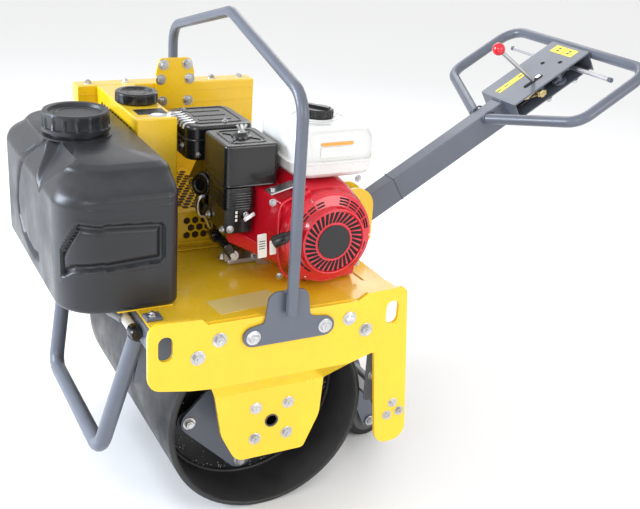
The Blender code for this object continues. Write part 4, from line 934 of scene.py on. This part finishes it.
def make_carburettor():
    """Black intake bowl beside the air cleaner with a wire loop."""
    build("carburettor", BLACK,
          (put_lathe, at(0.064, 0.064, 0.642), (0.85, 0.45, 0.1),
           [(0.022, -0.02), (0.025, -0.016), (0.026, 0.006), (0.022, 0.01), (0.016, 0.011), (0.014, 0.007),
            (0, 0.007)], 40),
          (put_lathe, at(0.045, 0.03, 0.6), UP,
           [(0.019, -0.03), (0.021, -0.026), (0.021, 0), (0.017, 0.012), (0.01, 0.03), (0, 0.03)]),
          (put_box, at(0.04, 0.048, 0.618), (0.04, 0.03, 0.042)), smooth=40, bevel=0.002)
    for name, look, bead, sides, route in (
            ("breather_pipe", ZINC, 0.0046, 10,
             ((0.066, 0.08, 0.622), (0.077, 0.08, 0.618), (0.08, 0.078, 0.6), (0.075, 0.078, 0.582),
              (0.064, 0.078, 0.578), (0.058, 0.076, 0.566), (0.052, 0.074, 0.552))),
            ("choke_rod", CHROME, 0.0018, 8,
             ((0.068, 0.06, 0.65), (0.08, 0.05, 0.652), (0.082, 0.03, 0.64), (0.07, 0.02, 0.61)))):
        build(name, look, (put_tube, curve_through([at(*spot) for spot in route]), bead, sides), smooth=60)


def make_air_cleaner_details():
    low, high = extent("air_cleaner")
    duct_low, duct_high = extent("cleaner_duct")
    x, y = (low.x + high.x) / 2, (low.y + high.y) / 2
    corners = [radians(45 + 90 * index) for index in range(4)]
    build("air_cleaner_ribs", BLACK,
          (put_band, low, high, 0.004, 0.014, 6, high.z - 0.0145, 0.0022),
          (put_band, low, high, -0.0008, 0.018, 6, low.z + 0.004, 0.002),
          (put_band, low, high, 0.018, 0.012, 6, high.z - 0.0002, 0.0024),
          (put_lathe, at(x, y, high.z - 0.001), UP,
           [(0.021, 0), (0.02, 0.004), (0.012, 0.006), (0.01, 0.01), (0, 0.01)]),
          *ribs_round(x, y, high.z + 0.0008, 0.03, (0.02, 0.003, 0.002), corners), smooth=50)
    build("wing_nut", ZINC,
          (put_lathe, at(x, y, high.z + 0.008), UP,
           [(0.0075, 0), (0.0075, 0.003), (0.0045, 0.004), (0.0045, 0.011), (0.003, 0.016),
            (0, 0.016)], 20),
          *((put_box, at(x + side * 0.007, y, high.z + 0.018), (0.005, 0.003, 0.013), rotation(side * 0.5))
            for side in (1, -1)), smooth=35, bevel=0.0008)
    build("cleaner_duct_ribs", BLACK,
          *((put_band, duct_low, duct_high, -0.0006, 0.012, 4, duct_high.z - 0.012 - index * 0.0052,
             0.0011, 5) for index in range(7)),
          (put_box, at(duct_high.x - 0.004, duct_high.y - 0.024, duct_low.z + 0.028),
           (0.012, 0.052, 0.048)), smooth=50)
    bolts("cleaner_duct_screws", [(at(duct_high.x + 0.0022, duct_high.y - 0.006, duct_low.z + 0.01), FRONT),
                                  (at(duct_high.x - 0.01, duct_high.y + 0.0022, duct_low.z + 0.012), LEFT),
                                  (at(duct_high.x + 0.0022, duct_low.y + 0.02, duct_low.z + 0.016), FRONT)],
          across=0.01, height=0.004)
    build("choke_lever", CHROME,
          (put_lathe, at(duct_low.x + 0.02, duct_high.y + 0.001, duct_low.z + 0.04), LEFT,
           [(0.006, 0), (0.006, 0.004), (0, 0.005)], 16),
          (put_box, at(duct_low.x + 0.014, duct_high.y + 0.007, duct_low.z + 0.036), (0.026, 0.003, 0.009),
           rotation(radians(28))), bevel=0.0008)
    build("choke_marks", LABEL_PALE,
          *((put_box, at(duct_high.x - 0.022, duct_high.y + 0.0034, duct_low.z + 0.03 + index * 0.008),
             (0.0045, 0.0004, 0.0055)) for index in range(3)), smooth=0)


def make_muffler_details():
    """Toothed top rim, seams, slits and screws of the heat shield over the muffler."""
    low, high = extent("muffler")
    middle = (low.x + high.x) / 2
    teeth = 17
    spread = (high.x - low.x - 0.06) / (teeth - 1)
    build("muffler_shield_ribs", BLACK,
          (put_band, low, high, 0.003, 0.025, 8, high.z - 0.01, 0.0026),
          (put_band, low, high, -0.0008, 0.028, 8, high.z - 0.03, 0.0024),
          (put_band, low, high, (0.022, 0.02, 0.024, 0.02), 0.012, 6, high.z + 0.0002, 0.0018),
          *((put_box, at(low.x + 0.03 + spread * index, high.y - 0.0055, high.z - 0.0075),
             (0.0042, 0.009, 0.005), rotation(0.7, "X")) for index in range(teeth)),
          *((put_box, at(middle, low.y + 0.045 + index * 0.034, high.z + 0.0004), (0.07, 0.01, 0.0016))
            for index in range(3)),
          (put_box, at(middle + 0.01, high.y + 0.0006, high.z - 0.052), (0.08, 0.0024, 0.014)),
          smooth=40, bevel=0.0004)
    shape = bmesh.new()
    reach, sunk = 0.0108, 0.0105
    for index in range(6):
        y = high.y - 0.03 - 0.0165 * index
        path = [at(high.x - sunk + reach * sin(turn), y, high.z - sunk + reach * cos(turn))
                for turn in (radians(angle) for angle in range(0, 100, 15))]
        put_tube(shape, [at(high.x - 0.026, y, high.z + 0.0002)] + path, 0.0026, 6)
    piece("muffler_slits", shape, ZINC, smooth=50)
    build("muffler_outlet", IRON,
          (put_lathe, at(high.x - 0.001, high.y - 0.048, high.z - 0.052), FRONT,
           [(0.015, 0), (0.015, 0.003), (0.011, 0.004), (0.01, 0.001), (0, 0.001)], 28))
    bolts("muffler_screws", [(at(low.x + 0.06, high.y - 0.022, high.z + 0.0006), UP),
                             (at(high.x - 0.034, low.y + 0.034, high.z + 0.0006), UP),
                             (at(high.x + 0.0002, high.y - 0.03, high.z - 0.046), FRONT),
                             (at(high.x - 0.022, high.y + 0.0002, high.z - 0.06), LEFT)],
          across=0.008, height=0.003)


def make_fuel_tank_details():
    low, high = extent("fuel_tank")
    face = high.y - 0.0087
    label("tank_stripe_label", at(-0.142, face, 0.764), (-1, 0, 0), UP, 0.07, 0.0065, LABEL_ORANGE)
    label("tank_notice_label", at(-0.142, face, 0.748), (-1, 0, 0), UP, 0.07, 0.02, LABEL_PALE)
    cap_low, cap_high = extent("fuel_cap")
    x, y, z = (cap_low + cap_high) / 2
    build("fuel_cap_ribs", BLACK,
          *ribs_round(x, y, z, 0.0305, (0.0022, 0.003, 0.013), turns(24)),
          (put_box, at(x, y, cap_high.z + 0.002), (0.012, 0.05, 0.006), rotation(0.6, "Z")),
          smooth=0, bevel=0.0006)
    collar = [(0.04, 0), (0.04, 0.003), (0.037, 0.0042), (0.033, 0.003), (0.0325, -0.001), (0.04, 0)]
    build("filler_ring", WHITE, (put_lathe, at(x, y, high.z - 0.002), UP, collar, 48),
          (put_tube, level_ring(x, y, high.z - 0.0006, 0.052, turns(64)), 0.0014, 6, True), smooth=50)
    bolts("fuel_tank_bolts", [at(low.x + 0.05, high.y - 0.012, low.z - 0.002)], LEFT,
          across=0.009, height=0.004)


def make_crankcase_details():
    """Side cover with its bolts, ribs and a shaft guard at the back and right of the engine."""
    low, high = extent("engine_block")
    cover = rounded_outline(low.x + 0.014, low.z + 0.02, high.x - 0.016, low.z + 0.176, 0.04, 8)
    behind = low.x - 0.0006
    build("crankcase_cover", ALLOY,
          (put_prism, cover, face_matrix(at(0, low.y + 0.001, 0), FRONT, UP), 0.012),
          *((put_box, at(behind, (low.y + high.y) / 2, low.z + 0.04 + index * 0.03),
             (0.008, high.y - low.y - 0.03, 0.004)) for index in range(5)),
          *((put_box, at(behind, low.y + 0.03 + index * 0.045, low.z + 0.1), (0.007, 0.004, 0.15))
            for index in range(4)), smooth=35, bevel=0.0015)
    middle = (low.x + high.x) / 2
    angles = [radians(turn + 30) for turn in range(0, 360, 60)]
    spots = [at(middle + 0.062 * cos(turn), low.y - 0.011, low.z + 0.098 + 0.064 * sin(turn))
             for turn in angles]
    bolts("crankcase_bolts", spots, (0, -1, 0), across=0.01, height=0.005)
    build("drive_shaft_boss", IRON,
          (put_lathe, at(middle - 0.01, low.y - 0.01, low.z + 0.104), (0, -1, 0),
           [(0.034, 0), (0.034, 0.006), (0.028, 0.01), (0.016, 0.012), (0.016, 0.036), (0.012, 0.038),
            (0, 0.038)], 36))
    y = high.y - 0.04
    build("dipstick", BLACK,
          (put_box, at(low.x - 0.006, y, low.z + 0.022), (0.012, 0.03, 0.022)),
          (put_lathe, at(low.x - 0.01, y, low.z + 0.024), (-1, 0, 0),
           [(0.011, 0), (0.011, 0.01), (0.007, 0.012), (0, 0.012)], 20), bevel=0.001)


# ---------------------------------------------------------------- rear and handle
def make_rear_details():
    blade_top = extent("scraper_blade")[1].z
    for side, word in SIDES:
        low, high = extent(f"scraper_hanger_{word}")
        outer = high.y if side > 0 else low.y
        spots = [at((low.x + high.x) / 2, outer, z) for z in (blade_top + 0.04, high.z - 0.022)]
        bolts(f"hanger_bolts_{word}", spots, (0, side, 0), across=0.012, height=0.005)
    beam = extent("rear_beam")[0]
    bolts("handle_bracket_bolts", [at(beam.x - 0.0083, y, beam.z + up) for y in (-0.062, 0.062)
                                   for up in (0.024, 0.088)], (-1, 0, 0), across=0.017, height=0.007)
    roller_low, roller_high = extent("support_roller")
    x, _, z = (roller_low + roller_high) / 2
    hub = [(0.034, 0), (0.034, 0.0014), (0.018, 0.0016), (0.016, 0.004), (0.009, 0.0044), (0, 0.0044)]
    for side, word in SIDES:
        out = (0, side, 0)
        build(f"roller_hub_{word}", IRON, (put_lathe, at(x, side * 0.1395, z), out, hub, 36), body="roller")
        bolts(f"roller_nut_{word}", [at(x, side * 0.1572, z)], out, "roller", across=0.015, height=0.006)
    reach = extent("handle_pin")[1].y - 0.0056
    bolts("handle_pin_nuts", [(at(PIN.x, side * reach, PIN.z), (0, side, 0)) for side in (1, -1)],
          across=0.022, height=0.0075)


TILT = radians(30.5)
PIN = (extent("handle_pin")[0] + extent("handle_pin")[1]) / 2
ALONG = Vector((-cos(TILT), 0, sin(TILT)))
UPPER = Vector((sin(TILT), 0, cos(TILT)))
ACROSS = UPPER.cross(ALONG)


def on_handle(s, y, n):
    """A place on the handle: s along it from its pin, y to the left, n above the pin."""
    return at(PIN.x, y, PIN.z) + ALONG * s + UPPER * n


def make_handle_details():
    start, end = 0.452, 0.684
    top, floor = 0.018, -0.032
    half, beam = 0.067, 0.02
    turn = face_matrix(Vector(), ALONG, ACROSS)
    ride = {"body": "handle"}
    label("control_label", on_handle(start + 0.062, -0.022, top), ALONG, ACROSS, 0.088, 0.019,
          LABEL_YELLOW, "handle", 0.001)
    label("travel_label", on_handle(end - 0.022, 0, top), -ACROSS, ALONG, 0.078, 0.026,
          LABEL_YELLOW, "handle", 0.001)
    build("label_marks", LABEL_DARK,
          *((put_prism, [(0, 0), (sign * 0.0065, 0.006), (sign * 0.0065, -0.006)],
             face_matrix(on_handle(end - 0.022, y, top + 0.0004), ALONG, ACROSS), 0.0003)
            for y in (-0.018, 0.018) for sign in (1, -1)),
          *((put_box, on_handle(start + s, -0.022, top + 0.0005), (0.012, 0.004, 0.0003), turn)
            for s in (0.024, 0.046, 0.09)),
          (put_box, on_handle(end - 0.022, 0, top + 0.0005), (0.028, 0.001, 0.0003), turn),
          smooth=0, **ride)
    # Painted shade: thin dark discs and a slot stand for the shade inside the console's holes.
    hole = [(0.0055, 0), (0.0055, 0.0005), (0, 0.0005)]
    build("console_hole_shade", HOLE_SHADE,
          (put_lathe, on_handle(end - 0.08, -0.012, top - 0.0002), UPPER, hole, 20),
          (put_lathe, on_handle(end - 0.06, 0.03, top - 0.0002), UPPER, hole, 20),
          (put_prism, rounded_outline(-0.028, -0.006, 0.028, 0.006, 0.0058),
           face_matrix(on_handle(start + 0.088, 0.03, top), ALONG, ACROSS), 0.0005), smooth=0, **ride)
    build("lever_guide", CHROME,
          (put_prism, rounded_outline(-0.006, -0.0045, 0.006, 0.0045, 0.002, 3),
           face_matrix(on_handle(start + 0.106, 0.026, top + 0.0005), ALONG, ACROSS), 0.0012),
          smooth=0, **ride)

    # mechanism inside the console, seen from its open side
    build("console_floor", GREY,
          (put_box, on_handle(start + 0.116, 0.004, floor + 0.004), (0.224, 0.11, 0.003), turn),
          bevel=0.0006, **ride)
    build("travel_linkage", GREY,
          (put_lathe, on_handle(end - 0.08, 0.034, floor + 0.006), UPPER,
           [(0.017, 0), (0.017, 0.007), (0.009, 0.008), (0.009, 0.03), (0, 0.03)], 28),
          (put_lathe, on_handle(start + 0.105, 0.02, floor + 0.006), UPPER,
           [(0.01, 0), (0.01, 0.03), (0, 0.03)], 20),
          (put_box, on_handle(end - 0.06, 0.03, floor + 0.022), (0.09, 0.01, 0.004),
           turn @ rotation(0.35, "Z")), smooth=40, bevel=0.0008, **ride)
    clevis = on_handle(start + 0.082, 0.058, -0.004)
    build("cable_clevis", BRASS,
          (put_box, on_handle(start + 0.06, 0.05, 0.004), (0.04, 0.004, 0.016), turn @ rotation(0.3)),
          (put_box, clevis, (0.024, 0.008, 0.012), turn @ rotation(0.3)),
          (put_lathe, clevis, LEFT,
           [(0.009, 0), (0.009, 0.006), (0.004, 0.007), (0.004, 0.009), (0, 0.009)], 20), bevel=0.0008, **ride)
    path = [on_handle(start + s, y, n) for s, y, n in
            ((0.01, 0.03, -0.012), (0.035, 0.046, -0.006), (0.06, 0.052, 0), (0.08, 0.054, -0.002))]
    build("control_cable", BLACK, (put_tube, curve_through(path), 0.0024, 8), smooth=60, **ride)
    spots = [on_handle(s, y, floor + 0.002) for y in (0.05, -0.04) for s in (start + 0.1, end - 0.05)]
    bolts("console_bolts", spots, -UPPER, "handle", across=0.013, height=0.008)
    tip = [(0.0058, -0.004), (0.0058, 0.005), (0.0048, 0.006), (0, 0.006)]
    build("travel_rod_hub", GREY,
          *((put_lathe, on_handle(end - 0.045, side * 0.18, top - 0.02), (0, side, 0), tip, 16)
            for side in (1, -1)),
          (put_lathe, on_handle(end - 0.045, 0, top - 0.02), LEFT,
           [(0.01, -0.02), (0.01, 0.036), (0, 0.036)], 24), **ride)

    # welds
    shape = bmesh.new()
    for side in (1, -1):
        base = on_handle(0.4035, side * (beam + 0.003), 0.0033)
        ring = [base + UPPER * (0.0135 * cos(swing)) + ALONG * (0.017 * sin(swing))
                for swing in turns(12, 1)]
        put_weld(shape, ring, 0.0024, 12)
    near, joint, cheek = start - 0.001, 0.125, beam + 0.0004
    put_weld(shape, [on_handle(near, -beam, 0.0145), on_handle(near, beam, 0.0145)], 0.0026, 13)
    for side in (1, -1):
        put_weld(shape, [on_handle(near, side * beam, n) for n in (-0.04, 0.0145)], 0.0024, 14)
        put_weld(shape, [on_handle(joint, side * cheek, n) for n in (-0.046, 0.013)], 0.0014, 15)
    put_weld(shape, [on_handle(joint, y, 0.0137) for y in (-beam, beam)], 0.0014, 16)
    put_weld(shape, [on_handle(end + 0.001, y, 0.012) for y in (0.004 - half, half - 0.004)], 0.0026, 17)
    piece("handle_welds", shape, GREY, "handle", smooth=60)


# ---------------------------------------------------------------- the whole scene
dress_nodes()
make_camera()
make_studio()
make_drum_details()
make_frame_bolts()
make_front_details()
make_cover_details()
make_water_tank()
make_tank_cap()
make_recoil()
make_fan_cover_details()
make_engine_feet()
make_crankcase_details()
make_carburettor()
make_air_cleaner_details()
make_muffler_details()
make_fuel_tank_details()
make_rear_details()
make_handle_details()
